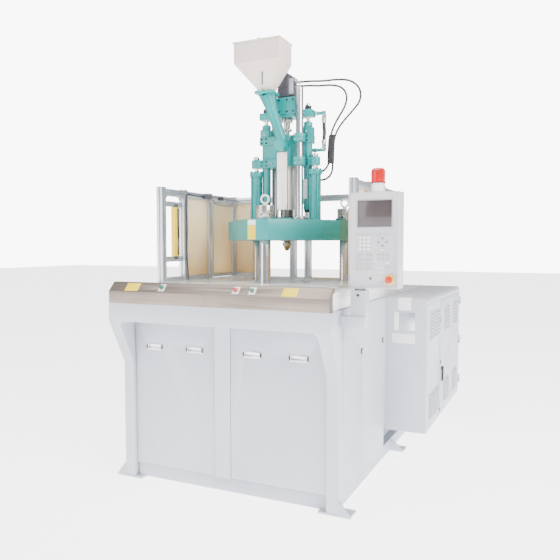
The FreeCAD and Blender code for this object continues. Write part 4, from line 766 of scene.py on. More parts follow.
# ---- Barrel, heaters and guard
# A nitrided barrel with clad heater bands behind a folded stainless guard.
# Each band has a clamp lug and a terminal block, and the guard is riveted to its brackets.
eased("barrel", 0.0015, "carriage", oiled_steel)
band_metal = metal("heater_clad", tone(178, 168, 148), tone(128, 116, 96), 0.36, (30, 30, 6), slot="mica",
                   patch=26)
eased("heater_bands", 0.0008, "carriage", band_metal)
brass = metal("nozzle_brass", tone(176, 140, 84), tone(98, 74, 52), 0.3, (8, 8, 120), slot="brass_fit",
              patch=30)
eased("nozzle", 0.0012, "carriage", brass)
guard_steel = metal("guard_stainless", tone(242, 236, 230), tone(216, 209, 202), 0.4, (20, 20, 0.5),
                    slot="stainless", patch=3)
eased("barrel_guard", 0.0008, "carriage", guard_steel, smooth=25)
GUARD_Z0, GUARD_Z1 = 1.69, 2.079
guard_front = INJ_Y - 0.084
rivets = [(side * 0.024, guard_front, z) for side in (-1, 1) for z in (1.772, 1.948)]
rivets += [(side * 0.03, guard_front, z) for side in (-1, 1) for z in (GUARD_Z0 + 0.012, GUARD_Z1 - 0.012)]
screws("guard_rivets", (0, -1, 0), 0.0045, rivets, zinc_plate, "carriage", socket=False)
lugs = []
for z in (1.705, 1.775, 1.845, 1.915):
    for side in (-1, 1):
        lugs.append(block("lug", (side * 0.005 - 0.002, INJ_Y + 0.0495, z + 0.006),
                          (side * 0.005 + 0.002, INJ_Y + 0.059, z + 0.046), 0.0006))
    for height in (0.014, 0.038):
        lugs.append(turned("bolt", (-0.012, INJ_Y + 0.0545, z + height), (1, 0, 0),
                           [(0, 0), (0.0026, 0), (0.0026, 0.024), (0, 0.024)], 10))
fit("heater_clamp_lugs", lugs, zinc_plate, "carriage")
ceramic = film("ceramic_block", tone(232, 226, 214), tone(206, 198, 184), 0.5, slot="deck_white", patch=40)
terminal = block("terminals", (0.05, INJ_Y + 0.018, 1.712), (0.064, INJ_Y + 0.046, 1.748), 0.002)
nozzle_band = turned("band", (0, INJ_Y, 1.441), (0, 0, 1), [(0.0233, 0), (0.03, 0), (0.0312, 0.0012),
                                                            (0.0312, 0.0228), (0.03, 0.024),
                                                            (0.0233, 0.024)], 36)
fit("nozzle_heater", [nozzle_band], band_metal, "carriage")
fit("heater_terminals", [terminal], ceramic, "carriage")


# ---- Moving crosshead and screw drive
# The crosshead pulls the two injection rods and carries the hydraulic motor on its top.
# The motor is dark enamel with ribbed sides, and its valve block is bare grey.
eased("crosshead", 0.004, "injector", teal_cast)
eased("hydraulic_motor", 0.003, "injector", dark_enamel)
eased("drive_coupling", 0.001, "screw", turned_steel)
eased("screw", 0.001, "screw", turned_steel)
CROSS_Z0, CROSS_Z1 = 2.318, 2.45
cross_screws = [(x, -0.3, z) for x in (-0.074, -0.03, 0.03, 0.074)
                for z in (CROSS_Z0 + 0.036, CROSS_Z1 - 0.018)]
screws("crosshead_face_screws", (0, -1, 0), 0.006, cross_screws, dark_steel, "injector")
cover_screws = [(x, y, CROSS_Z1) for x in (-0.076, 0.076) for y in (-0.284, -0.232, -0.18)]
screws("crosshead_top_screws", (0, 0, 1), 0.006, cover_screws, dark_steel, "injector")
cooling = []
for step in range(9):
    z = CROSS_Z1 + 0.03 + step * 0.0145
    cooling.append(block("rib", (-0.0545, INJ_Y - 0.0445, z), (0.0255, INJ_Y + 0.0445, z + 0.006), 0.0012))
fit("motor_ribs", cooling, dark_enamel, "injector")
motor_bolts = [(x, y, CROSS_Z1 + 0.166) for x in (-0.042, 0.016) for y in (INJ_Y - 0.032, INJ_Y + 0.032)]
screws("motor_bolts", (0, 0, 1), 0.0058, motor_bolts, zinc_plate, "injector")
valve_grey = film("valve_grey", tone(176, 178, 182), tone(150, 152, 158), 0.36, slot="valve_grey", patch=20,
                  grain=400)
valves = [block("valve", (0.0618, INJ_Y - 0.026, CROSS_Z1 + 0.112), (0.07, INJ_Y + 0.026, CROSS_Z1 + 0.136),
                0.003), block("valve", (0.027, INJ_Y - 0.0345, CROSS_Z1 + 0.026),
                              (0.061, INJ_Y - 0.0295, CROSS_Z1 + 0.134), 0.002)]
fit("motor_valve", valves, valve_grey, "injector")
rod_nuts = [turned("nut", (side * INJ_X, INJ_Y, CROSS_Z0 + 0.0462), (0, 0, 1),
                   [(0.0205, 0), (0.0255, 0), (0.0255, 0.022), (0.0235, 0.026), (0.0205, 0.026)], 6)
            for side in (-1, 1)]
fit("rod_nuts", rod_nuts, dark_steel, "injector")
elbow = [turned("collar", (0.206, PORT_Y, CROSS_Z0 + 0.024), (1, 0, 0),
                [(0.0112, 0), (0.0158, 0), (0.0158, 0.014), (0.0112, 0.014)], 6),
         turned("collar", (0.262, PORT_Y, CROSS_Z0), (0, 0, 1),
                [(0.0131, 0), (0.0175, 0), (0.0175, 0.014), (0.0131, 0.014)], 6)]
fit("elbow_collars", elbow, zinc_plate, "injector")


# ---- Feed chute
# A cast pipe slopes from the hopper's square seat to the barrel's throat.
# Two triangular webs stiffen it under the seat, and four screws hold the hopper.
eased("feed_chute", 0.002, "carriage", teal_cast)
SPOUT = Vector((-0.073, -0.4, 2.452))
THROAT = Vector((0.005, -0.354, 2.165))
chute_way = (SPOUT - THROAT).normalized()


def chute_web(side):
    """A flat rib between the seat's underside and the chute, tapering downwards."""
    bpy.ops.object.select_all(action="DESELECT")
    bpy.ops.mesh.primitive_plane_add(size=1, location=(0, 0, 0))
    web = bpy.context.active_object
    corners = [SPOUT + Vector((side * 0.026, -0.004, 0)), SPOUT + Vector((side * 0.058, -0.004, 0)),
               SPOUT - chute_way * 0.125 + Vector((side * 0.026, -0.004, 0)),
               SPOUT - chute_way * 0.12 + Vector((side * 0.034, -0.004, 0))]
    for vertex, corner in zip(web.data.vertices, corners):
        vertex.co = corner
    wall = web.modifiers.new("wall", "SOLIDIFY")
    wall.thickness = 0.008
    wall.offset = 0
    rim = web.modifiers.new("rim", "BEVEL")
    rim.width = 0.0015
    bpy.ops.object.modifier_apply(modifier="wall")
    bpy.ops.object.modifier_apply(modifier="rim")
    edit_all()
    bpy.ops.mesh.normals_make_consistent(inside=False)
    bpy.ops.object.mode_set(mode="OBJECT")
    return web


fit("chute_webs", [chute_web(-1), chute_web(1)], teal_cast, "carriage")
seat_screws = [(SPOUT.x + dx, SPOUT.y + dy, SPOUT.z + 0.018) for dx in (-0.052, 0.052)
               for dy in (-0.052, 0.052)]
screws("chute_seat_screws", (0, 0, 1), 0.0055, seat_screws, zinc_plate, "carriage")


# ---- Hopper
# Folded cream sheet with a rolled rim, a sight slot in its front taper and a lift-up lid.
# A shutter with a round knob lies across its neck.
cream_sheet = film("cream_sheet", tone(228, 214, 206), tone(216, 202, 194), 0.34, slot="hopper_steel",
                   patch=3, grain=500)
grey_sheet = film("grey_sheet", tone(206, 194, 188), tone(194, 183, 177), 0.36, slot="hopper_steel",
                  patch=3, grain=500)
eased("hopper", 0.0012, "carriage", cream_sheet)
eased("hopper_lid", 0.0012, "lid", grey_sheet)
skirt_z = 2.654
hop_front = -0.5
skirt = block("skirt", (-0.2695, hop_front - 0.0008, skirt_z + 0.003), (0.0615, hop_front + 0.0004, 2.783),
              0.0003)
fit("hopper_front_panel", [skirt], grey_sheet, "carriage")
taper_turn = math.atan2(0.5 - 0.439, skirt_z - 2.47)
slot_ring = block("ring", (-0.009, -0.0022, -0.048), (0.009, 0.0004, 0.048), 0.001)
slot_glass = block("glass", (-0.0055, -0.003, -0.042), (0.0055, -0.0006, 0.042), 0.0009)
for name, piece, colour in (("sight_slot_rim", slot_ring, zinc_plate),
                            ("sight_slot_glass", slot_glass, dark_enamel)):
    pick(piece)
    piece.rotation_euler = (taper_turn, 0.16, 0)
    piece.location = (-0.076, -0.4625, 2.548)
    settle()
    fit(name, [piece], colour, "carriage")
shutter = block("shutter", (-0.116, -0.462, 2.4702), (-0.03, -0.439, 2.4762), 0.001)
knob = turned("knob", (-0.073, -0.462, 2.4732), (0, -1, 0), [(0, 0), (0.003, 0), (0.003, 0.008),
                                                             (0.007, 0.01), (0.008, 0.016), (0.006, 0.021),
                                                             (0, 0.022)], 24)
fit("hopper_shutter", [shutter, knob], zinc_plate, "carriage")
rim_rivets = [(x, hop_front - 0.006, 2.7862) for x in (-0.25, -0.16, -0.05, 0.045)]
screws("hopper_rim_rivets", (0, -1, 0), 0.003, rim_rivets, zinc_plate, "carriage", socket=False)


# ---- Guard frames
# Anodised extrusions with open slots, bolted together at their corners under dark post caps.
# The left rail carries the door's interlock switch, whose cable is tied down a post.
anodised = metal("anodised_extrusion", tone(222, 224, 230), tone(192, 195, 203), 0.38, (16, 16, 0.8),
                 slot="extrusion", patch=3)
# This grey finish is painted shade in the rails' open slots, and also colours the door's seal strips.
slot_shade = film("seal_and_slot_shade", tone(128, 130, 136), tone(106, 108, 114), 0.6, slot="extrusion", patch=12)
cable_skin = film("cable_skin", tone(48, 50, 62), tone(36, 38, 48), 0.5, slot="hose_rubber", patch=50,
                  grain=800)
eased("guard_frames", 0.0012, "root", anodised)
GUARD_X, REAR_Y = 0.664, 0.205
REAR_POST_X = 0.4
POST_HALF = 0.0225
POST_TOP, RAIL_Z, RAIL_FOOT = 1.828, 1.7995, 1.777
GUARD_YS = (-0.782, -0.522, -0.192, REAR_Y)
post_places = [(side * GUARD_X, y) for side in (-1, 1) for y in GUARD_YS]
post_places += [(side * REAR_POST_X, REAR_Y) for side in (-1, 1)]
cap_face = POST_HALF - 0.0004
post_cap = block("cap", (-cap_face, -cap_face, 0), (cap_face, cap_face, 0.0035), 0.0012)
fit_copies("post_caps", post_cap, [(x, y, POST_TOP) for x, y in post_places], dark_steel, "root")
# Grey strips down the rails' open slots are painted shade in those slots.
slot_shadows = []
for side in (-1, 1):
    for y0, y1 in zip(GUARD_YS, GUARD_YS[1:]):
        for face in (GUARD_X - POST_HALF, GUARD_X + POST_HALF):
            x = side * face
            slot_shadows.append(block("slot_shadow", (x - 0.0004, y0 + POST_HALF + 0.001, RAIL_Z - 0.004),
                                 (x + 0.0004, y1 - POST_HALF - 0.001, RAIL_Z + 0.004), 0.0002))
for x0, x1 in ((-GUARD_X, -REAR_POST_X), (-REAR_POST_X, REAR_POST_X), (REAR_POST_X, GUARD_X)):
    for y in (REAR_Y - POST_HALF, REAR_Y + POST_HALF):
        slot_shadows.append(block("slot_shadow", (x0 + POST_HALF + 0.001, y - 0.0004, RAIL_Z - 0.004),
                             (x1 - POST_HALF - 0.001, y + 0.0004, RAIL_Z + 0.004), 0.0002))
fit("rail_slot_shadows", slot_shadows, slot_shade, "root")


def extruded(name, outline, axis, low, high, ease):
    """A closed outline, given in the two other axes, drawn out along one axis and eased."""
    order = {"x": (2, 0, 1), "y": (0, 2, 1), "z": (0, 1, 2)}[axis]

    def lift(a, b, along):
        """A point at (a, b) across the axis and its place along it."""
        return [(a, b, along)[part] for part in order]

    bpy.ops.object.select_all(action="DESELECT")
    bpy.ops.mesh.primitive_circle_add(vertices=len(outline), radius=0.01, fill_type="NGON",
                                      location=(0, 0, 0))
    piece = bpy.context.active_object
    piece.name = name
    for vertex, (a, b) in zip(piece.data.vertices, outline):
        vertex.co = lift(a, b, low)
    edit_all()
    bpy.ops.mesh.extrude_region_move(TRANSFORM_OT_translate={"value": lift(0, 0, high - low)})
    bpy.ops.mesh.select_all(action="SELECT")
    bpy.ops.mesh.normals_make_consistent(inside=False)
    bpy.ops.mesh.bevel(offset=ease, segments=2, affect="EDGES")
    bpy.ops.object.mode_set(mode="OBJECT")
    return piece


# A die-cast angle is an L with two webs.
angle_outline = [(0, 0), (0.03, 0), (0.03, -0.0035), (0.0035, -0.0035), (0.0035, -0.03), (0, -0.03)]
web_outline = [(0.002, -0.002), (0.028, -0.002), (0.028, -0.005), (0.005, -0.028), (0.002, -0.028)]
angles = []
for corner_x in (-REAR_POST_X + POST_HALF, -0.141 + POST_HALF, -0.018 + POST_HALF, REAR_POST_X - POST_HALF,
                 -0.018 - POST_HALF, -0.141 - POST_HALF):
    turn = 1 if corner_x in (-REAR_POST_X + POST_HALF, -0.141 + POST_HALF, -0.018 + POST_HALF) else -1
    for outline, half in ((angle_outline, 0.013), (web_outline, 0.002)):
        for y in (REAR_Y,) if half > 0.01 else (REAR_Y - 0.01, REAR_Y + 0.01):
            angles.append(extruded("angle", [(corner_x + turn * a, RAIL_FOOT + b) for a, b in outline], "y",
                                   y - half, y + half, 0.0006))
for corner_y, turn in ((GUARD_YS[0] + POST_HALF, 1), (GUARD_YS[1] - POST_HALF, -1)):
    for outline, half in ((angle_outline, 0.013), (web_outline, 0.002)):
        for x in (-GUARD_X,) if half > 0.01 else (-GUARD_X - 0.01, -GUARD_X + 0.01):
            angles.append(extruded("angle", [(corner_y + turn * a, RAIL_FOOT + b) for a, b in outline], "x",
                                   x - half, x + half, 0.0006))
fit("corner_angles", angles, anodised, "root")
post_bolts = [(side * (GUARD_X - POST_HALF + 0.004), y, z) for side in (-1, 1) for y in GUARD_YS[:3]
              for z in (RAIL_Z, 1.215)]
screws("post_bolts_in", (1, 0, 0), 0.0036, [p for p in post_bolts if p[0] < 0], zinc_plate, "root")
screws("post_bolts_out", (-1, 0, 0), 0.0036, [p for p in post_bolts if p[0] > 0], zinc_plate, "root")
rail_face = -GUARD_X + POST_HALF + 0.0006
switch = [block("body", (rail_face, -0.292, 1.784), (rail_face + 0.024, -0.228, 1.816), 0.0025),
          block("head", (rail_face + 0.002, -0.228, 1.788), (rail_face + 0.021, -0.206, 1.812), 0.002),
          block("rear_switch", (rail_face, -0.084, 1.787), (rail_face + 0.02, -0.034, 1.813), 0.0022),
          turned("gland", (rail_face + 0.012, -0.292, 1.8), (0, -1, 0),
                 [(0, 0), (0.0085, 0), (0.0085, 0.006), (0.0065, 0.007), (0.0065, 0.012), (0.0035, 0.013),
                  (0, 0.013)], 20)]
fit("interlock_switch", switch, dark_enamel, "root")
hasp = [block("plate", (rail_face, -0.206, 1.765), (rail_face + 0.003, -0.14, 1.812), 0.001),
        block("tongue", (rail_face + 0.003, -0.204, 1.795), (rail_face + 0.009, -0.086, 1.803), 0.001),
        turned("wheel", (rail_face + 0.003, -0.176, 1.784), (1, 0, 0),
               [(0, 0), (0.01, 0), (0.01, 0.003), (0.006, 0.004), (0.006, 0.012), (0.009, 0.013),
                (0.009, 0.018), (0.007, 0.02), (0, 0.02)], 28)]
hasp += [turned("stud", (rail_face + 0.003, y, z), (1, 0, 0),
                [(0, 0), (0.0045, 0), (0.0045, 0.003), (0.003, 0.004), (0, 0.004)], 16) for y,
         z in ((-0.152, 1.773), (-0.152, 1.806), (-0.198, 1.773))]
fit("interlock_hasp", hasp, zinc_plate, "root")
cable_route = [(-0.629, -0.305, 1.8), (-0.633, -0.35, 1.797), (-0.6365, -0.41, 1.8),
               (-0.6372, -0.47, 1.804), (-0.6375, -0.512, 1.806), (-0.6375, -0.522, 1.78),
               (-0.637, -0.528, 1.7), (-0.636, -0.519, 1.6), (-0.637, -0.523, 1.5), (-0.636, -0.526, 1.4),
               (-0.6365, -0.515, 1.3), (-0.636, -0.508, 1.235), (-0.6345, -0.506, 1.2035)]
hose("post_wiring", cable_route, 0.0032, cable_skin, "root", 12, 4)
ties = [turned("tie", (-0.6368, -0.523, z), (0, 0, 1), [(0.0033, 0), (0.0046, 0.0004), (0.0046, 0.0032),
                                                        (0.0033, 0.0036)], 20) for z in (1.735, 1.5, 1.345)]
fit("wiring_ties", ties, dark_steel, "root")


# ---- Guard sheets
# Amber polycarbonate held in the posts' slots.
# Its tint is deepest low down and pales towards the top rail.
def tinted_sheet_group():
    """A tinted sheet whose colour fades with height, clear between faint clouds."""
    inputs = FILM_INPUTS + [("Foot", "NodeSocketFloat", 1.2), ("Head", "NodeSocketFloat", 1.8)]
    group, source, result, place = shader_group("tinted_sheet", inputs, FILM_OUTPUTS)
    split = group.nodes.new("ShaderNodeSeparateXYZ")
    group.links.new(place.outputs["Object"], split.inputs[0])
    rise = group.nodes.new("ShaderNodeMapRange")
    group.links.new(split.outputs["Z"], rise.inputs["Value"])
    group.links.new(source.outputs["Foot"], rise.inputs["From Min"])
    group.links.new(source.outputs["Head"], rise.inputs["From Max"])
    cloud = spread(group, noise(group, place.outputs["Object"], source.outputs["Patch Size"], 3.0), 0.3,
                   0.7, -0.2, 0.2)
    fade = join_values(group, "ADD", rise.outputs["Result"], cloud)
    colour = blend_colours(group, fade, source.outputs["Colour"], source.outputs["Shade"])
    group.links.new(colour, result.inputs["Colour"])
    peel = noise(group, place.outputs["Object"], source.outputs["Grain Size"], 2.0)
    group.links.new(peel, result.inputs["Height"])
    rough = join_values(group, "ADD", source.outputs["Gloss"], spread(group, cloud, -0.2, 0.2, 0.0, 0.06))
    group.links.new(rough, result.inputs["Roughness"])
    return group


amber_values = {"Colour": tone(252, 214, 140), "Shade": tone(254, 234, 188), "Gloss": 0.16,
                "Patch Size": 2.2, "Grain Size": 30.0, "Foot": 1.25, "Head": 1.8}
amber_sheet = finish("amber_sheet", tinted_sheet_group(), amber_values, 0.0001, slot="amber_sheet",
                     Transmission_Weight=0.3, IOR=1.45, Alpha=0.9)
eased("guard_sheets", 0.0006, "root", amber_sheet)


# ---- Light curtain
# A yellow safety light bar with a dark lens strip, held on two cross bands in the front bay.
# Grey angle brackets clamp its ends.
def second_finish(piece, material, chosen):
    """Give the faces that pass the test a second material."""
    piece.data.materials.append(material)
    for face in piece.data.polygons:
        if chosen(face):
            face.material_index = 1


curtain_yellow = film("curtain_yellow", tone(246, 206, 0), tone(236, 192, 0), 0.3, slot="curtain_yellow",
                      patch=10, Coat_Weight=0.3, Coat_Roughness=0.15)
lens_dark = film("lens_dark", tone(64, 40, 24), tone(46, 28, 18), 0.12, slot="screen_glass", patch=6,
                 Coat_Weight=0.8, Coat_Roughness=0.05)
curtain = eased("light_curtain", 0.0016, "root", curtain_yellow)
second_finish(curtain, anodised, lambda face: abs(face.center.x + GUARD_X) < 0.0045
              and (not 1.3715 < face.center.z < 1.7055))
CURTAIN_Y = -0.624
bar_face = -GUARD_X + 0.017
lens = block("lens", (bar_face - 0.001, CURTAIN_Y + 0.002, 1.378),
             (bar_face + 0.0006, CURTAIN_Y + 0.0215, 1.699), 0.0006)
fit("curtain_lens", [lens], lens_dark, "root")
clamps = []
for z0, z1 in ((1.352, 1.3705), (1.7065, 1.725)):
    clamps.append(block("clamp", (-GUARD_X + 0.0045, CURTAIN_Y - 0.014, z0),
                        (-GUARD_X + 0.016, CURTAIN_Y + 0.014, z1), 0.0012))
    clamps.append(turned("bolt", (-GUARD_X + 0.016, CURTAIN_Y, (z0 + z1) / 2), (1, 0, 0),
                         [(0, 0), (0.0048, 0), (0.0048, 0.003), (0.003, 0.004), (0, 0.004)], 18))
clamps += [turned("screw", (-GUARD_X + 0.0042, y, z), (1, 0, 0),
                  [(0, 0), (0.004, 0), (0.004, 0.002), (0.0025, 0.003), (0, 0.003)], 16)
           for y in (-0.748, -0.556) for z in (1.353, 1.724)]
fit("curtain_clamps", clamps, dark_enamel, "root")


# ---- Guard door
# A light aluminium frame round an amber sheet, with a grip on its outside and three hinges.
# A small striker plate on its top edge meets the interlock.
leaf = eased("guard_door", 0.001, "guard_door", anodised)
second_finish(leaf, amber_sheet, lambda face: abs(face.normal.x) > 0.9
              and abs(face.center.x + GUARD_X) < 0.0024)
striker = [block("plate", (-0.6488, -0.158, 1.7505), (-0.6462, -0.1, 1.7715), 0.0008),
           turned("pin", (-0.6462, -0.146, 1.761), (1, 0, 0),
                  [(0, 0), (0.005, 0), (0.005, 0.003), (0, 0.003)], 18),
           turned("pin", (-0.6462, -0.112, 1.761), (1, 0, 0),
                  [(0, 0), (0.0035, 0), (0.0035, 0.002), (0, 0.002)], 18)]
fit("door_striker", striker, zinc_plate, "guard_door")
door_seal = [block("seal", (-0.6496, y - 0.0015, 1.235), (-0.6484, y + 0.0015, 1.745), 0.0004)
             for y in (-0.1445, 0.1645)]
door_seal += [block("seal", (-0.6496, -0.1445, z - 0.0015), (-0.6484, 0.1645, z + 0.0015), 0.0004)
              for z in (1.228, 1.752)]
fit("door_seal", door_seal, slot_shade, "guard_door")


# ---- Electrical cabinet
# A side-hung cabinet with a rounded top edge, a fixed front panel and a hinged louvred door.
# Its front carries a folded white plate over the top edge and blank plates below it.
eased("cabinet_shell", 0.0025, "root", grey_coat)
eased("cabinet_door", 0.0015, "cabinet_door", grey_coat)
CAB_FRONT, CAB_SIDE, CAB_TOP = -0.21, 0.972, 1.104
SEAM_Y = 0.255
fold = [(CAB_FRONT - 0.0018, 1.024), (CAB_FRONT - 0.0018, CAB_TOP + 0.0018), (-0.146, CAB_TOP + 0.0018),
        (-0.146, CAB_TOP + 0.0002), (CAB_FRONT - 0.0002, CAB_TOP + 0.0002), (CAB_FRONT - 0.0002, 1.024)]
fit("folded_blank_plate", [extruded("fold", fold, "x", 0.784, 0.87, 0.0005)], white_plate, "root")
silver_plate = metal("silver_plate", tone(216, 218, 224), tone(196, 198, 206), 0.34, (60, 2, 2),
                     slot="stainless", patch=12)
left_column = block("column", (0.759, CAB_FRONT - 0.0012, 0.893), (0.792, CAB_FRONT - 0.0001, 1.01), 0.0004)
low_plate = block("low", (0.747, CAB_FRONT - 0.0012, 0.808), (0.899, CAB_FRONT - 0.0001, 0.871), 0.0004)
fit("cabinet_blank_plates", [left_column, low_plate], white_plate, "root")
right_column = block("column", (0.796, CAB_FRONT - 0.0012, 0.893), (0.898, CAB_FRONT - 0.0001, 1.01),
                     0.0004)
fit("cabinet_silver_plate", [right_column], silver_plate, "root")
plate_rivets = [(x, CAB_FRONT - 0.0011, z) for x, z in ((0.763, 0.898), (0.763, 1.005), (0.893, 0.898),
                                                        (0.893, 1.005), (0.752, 0.814), (0.894, 0.814),
                                                        (0.752, 0.865), (0.894, 0.865))]
screws("plate_rivets", (0, -1, 0), 0.0018, plate_rivets, zinc_plate, "root", socket=False)
# Thin dark strips along the side panel's edge gaps are painted shade in those gaps.
seam_shadows = [block("seam", (CAB_SIDE - 0.0008, CAB_FRONT + 0.004, 0.24),
               (CAB_SIDE + 0.0003, CAB_FRONT + 0.006, 1.061), 0.0002),
         block("seam", (CAB_SIDE - 0.0008, CAB_FRONT + 0.004, 1.06),
               (CAB_SIDE + 0.0003, SEAM_Y + 0.01, 1.0622), 0.0002),
         block("seam", (CAB_SIDE - 0.0008, SEAM_Y + 0.0095, 0.24),
               (CAB_SIDE + 0.0003, SEAM_Y + 0.0118, 1.061), 0.0002)]
fit("cabinet_seam_shadows", seam_shadows, dark_steel, "root")


def louvre_bank(y0, y1, z0, z1, count):
    """A raised pan with a row of half-round louvres standing out from a side panel."""
    pan = CAB_SIDE + 0.0012
    parts = [block("pan", (pan - 0.001, y0 - 0.008, z0 - 0.01), (pan + 0.0022, y1 + 0.008, z1 + 0.01),
                   0.0016)]
    pitch = (z1 - z0) / count
    for row in range(count):
        z = z0 + pitch * row
        lip = [(pan + 0.002, z + 0.004), (pan + 0.0125, z + 0.0035), (pan + 0.0135, z + 0.006),
               (pan + 0.0115, z + pitch * 0.62), (pan + 0.006, z + pitch * 0.82),
               (pan + 0.002, z + pitch * 0.9)]
        parts.append(extruded("lip", lip, "y", y0, y1, 0.0012))
    return parts


HIGH_LOUVRES, LOW_LOUVRES = (0.822, 0.996), (0.292, 0.45)
fixed_banks = [part for z0, z1 in (HIGH_LOUVRES, LOW_LOUVRES) for y0,
               y1 in ((-0.096, -0.01), (0.024, 0.218)) for part in louvre_bank(y0, y1, z0, z1, 7)]
fit("fixed_panel_louvres", fixed_banks, grey_coat, "root")
door_banks = [part for z0, z1 in (HIGH_LOUVRES, LOW_LOUVRES) for y0,
              y1 in ((0.445, 0.615), (0.815, 0.985)) for part in louvre_bank(y0, y1, z0, z1, 7)]
fit("door_louvres", door_banks, grey_coat, "cabinet_door")
lock_rim = [(0, 0.0004), (0.004, 0.0004), (0.004, 0.003), (0.0105, 0.003), (0.0125, 0.002), (0.013, 0)]
cabinet_locks = [turned("lock", (CAB_SIDE + 0.001, SEAM_Y + 0.03, z), (1, 0, 0), lock_rim, 28)
                 for z in (0.918, 0.611, 0.27)]
cabinet_locks += [block("tab", (CAB_SIDE + 0.001, SEAM_Y + 0.0255, z - 0.017),
                        (CAB_SIDE + 0.0032, SEAM_Y + 0.0345, z + 0.017), 0.001)
                  for z in (0.918, 0.611, 0.27)]
fit("cabinet_locks", cabinet_locks, dark_steel, "cabinet_door")
LEVER_Y, LEVER_Z = 0.33, 0.56
lever_black = film("lever_black", tone(40, 40, 44), tone(30, 30, 33), 0.34, slot="black_plastic", patch=30,
                   Coat_Weight=0.2)
eased("cabinet_lever", 0.0025, "lever", lever_black)
lever_base = block("base", (CAB_SIDE + 0.001, LEVER_Y - 0.02, LEVER_Z - 0.03),
                   (CAB_SIDE + 0.0022, LEVER_Y + 0.05, LEVER_Z + 0.04), 0.0008)
fit("lever_base_plate", [lever_base], silver_plate, "cabinet_door")
lever_tip = block("tip", (CAB_SIDE + 0.0181, LEVER_Y - 0.0085, LEVER_Z - 0.09),
                  (CAB_SIDE + 0.019, LEVER_Y + 0.0085, LEVER_Z - 0.066), 0.0004)
lever_mark = block("mark", (CAB_SIDE + 0.0181, LEVER_Y - 0.002, LEVER_Z - 0.058),
                   (CAB_SIDE + 0.0189, LEVER_Y + 0.002, LEVER_Z - 0.006), 0.0003)
fit("lever_red_marks", [lever_tip, lever_mark], red_cap, "lever")
hinge_caps = [turned("cap", (0.981, 1.111, z), (0, 0, 1), [(0, 0), (0.0052, 0), (0.006, 0.0008),
                                                           (0.0052, 0.0022), (0, 0.0026)], 20)
              for z in (0.3602, 0.6902, 1.0202)]
fit("cabinet_hinge_caps", hinge_caps, zinc_plate, "cabinet_door")


# ---- Operator panel
# A folded arm carries a swivelling box with a screen, membrane keys and an emergency stop.
# Its keys sit in groups, and every face is bare of lettering.
eased("hmi_arm", 0.002, "root", grey_coat)
panel_grey = film("panel_grey", tone(194, 190, 196), tone(186, 182, 189), 0.4, slot="panel_grey", patch=4,
                  grain=900, depth=0.0001)
eased("hmi_box", 0.0015, "panel", panel_grey)
screen_glass = film("screen_glass", tone(72, 62, 64), tone(62, 54, 56), 0.34, slot="screen_glass", patch=5,
                    grain=200, depth=0.00002, Coat_Weight=0.6, Coat_Roughness=0.06)
eased("hmi_screen", 0.0006, "panel", screen_glass)
FACE_Y = -1.1052
bezel_grey = film("bezel_grey", tone(150, 148, 154), tone(138, 136, 142), 0.4, slot="panel_grey", patch=10)
bezel = [block("edge", (x0, -1.1064, z0), (x1, -1.105, z1), 0.0005) for x0, x1, z0,
         z1 in ((0.7865, 0.79, 1.5385, 1.6795), (0.969, 0.9725, 1.5385, 1.6795),
                (0.79, 0.969, 1.5385, 1.542), (0.79, 0.969, 1.676, 1.6795))]
fit("screen_bezel", bezel, bezel_grey, "panel")


def key(x, z, width, height):
    """A domed membrane key on the panel's face."""
    return block("key", (x - width / 2, FACE_Y - 0.0011, z - height / 2),
                 (x + width / 2, FACE_Y + 0.0002, z + height / 2), 0.0007)


key_white = film("key_white", tone(244, 243, 246), tone(232, 231, 236), 0.36, slot="deck_white", patch=40)
key_grey = film("key_grey", tone(178, 177, 184), tone(166, 165, 172), 0.4, slot="panel_grey", patch=40)
key_dark = film("key_dark", tone(92, 90, 96), tone(78, 76, 82), 0.4, slot="black_plastic", patch=40)
number_keys = [key(0.806 + 0.0215 * column, 1.486 - 0.0195 * row, 0.015, 0.0125) for column in range(3)
               for row in range(4)]
white_keys = number_keys + [key(0.922, 1.4245, 0.013, 0.01), key(0.95, 1.3585, 0.013, 0.01)]
white_keys += [key(x, z, 0.012, 0.009) for x in (0.905, 0.9235) for z in (1.333, 1.309)]
fit("panel_white_keys", white_keys, key_white, "panel")
grey_keys = [key(x, 1.504, 0.013, 0.0075) for x in (0.783, 0.804, 0.825, 0.846, 0.867, 0.888, 0.909, 0.93,
                                                    0.951)]
grey_keys += [key(x, z, 0.015, 0.011) for x in (0.7925, 0.814, 0.843, 0.8645)
              for z in (1.398, 1.373, 1.35, 1.327)]
grey_keys += [key(x, z, 0.014, 0.0105) for x in (0.902, 0.926, 0.95) for z in (1.398, 1.376)]
grey_keys += [key(0.95, 1.336, 0.014, 0.01)]
fit("panel_grey_keys", grey_keys, key_grey, "panel")


def arrow_key(x, z, turn):
    """A triangular key that points the way it moves."""
    points = []
    for corner in range(3):
        angle = math.radians(turn + 120 * corner)
        points.append((x + 0.007 * math.cos(angle), z + 0.007 * math.sin(angle)))
    return extruded("arrow", points, "y", FACE_Y - 0.0013, FACE_Y + 0.0002, 0.0005)


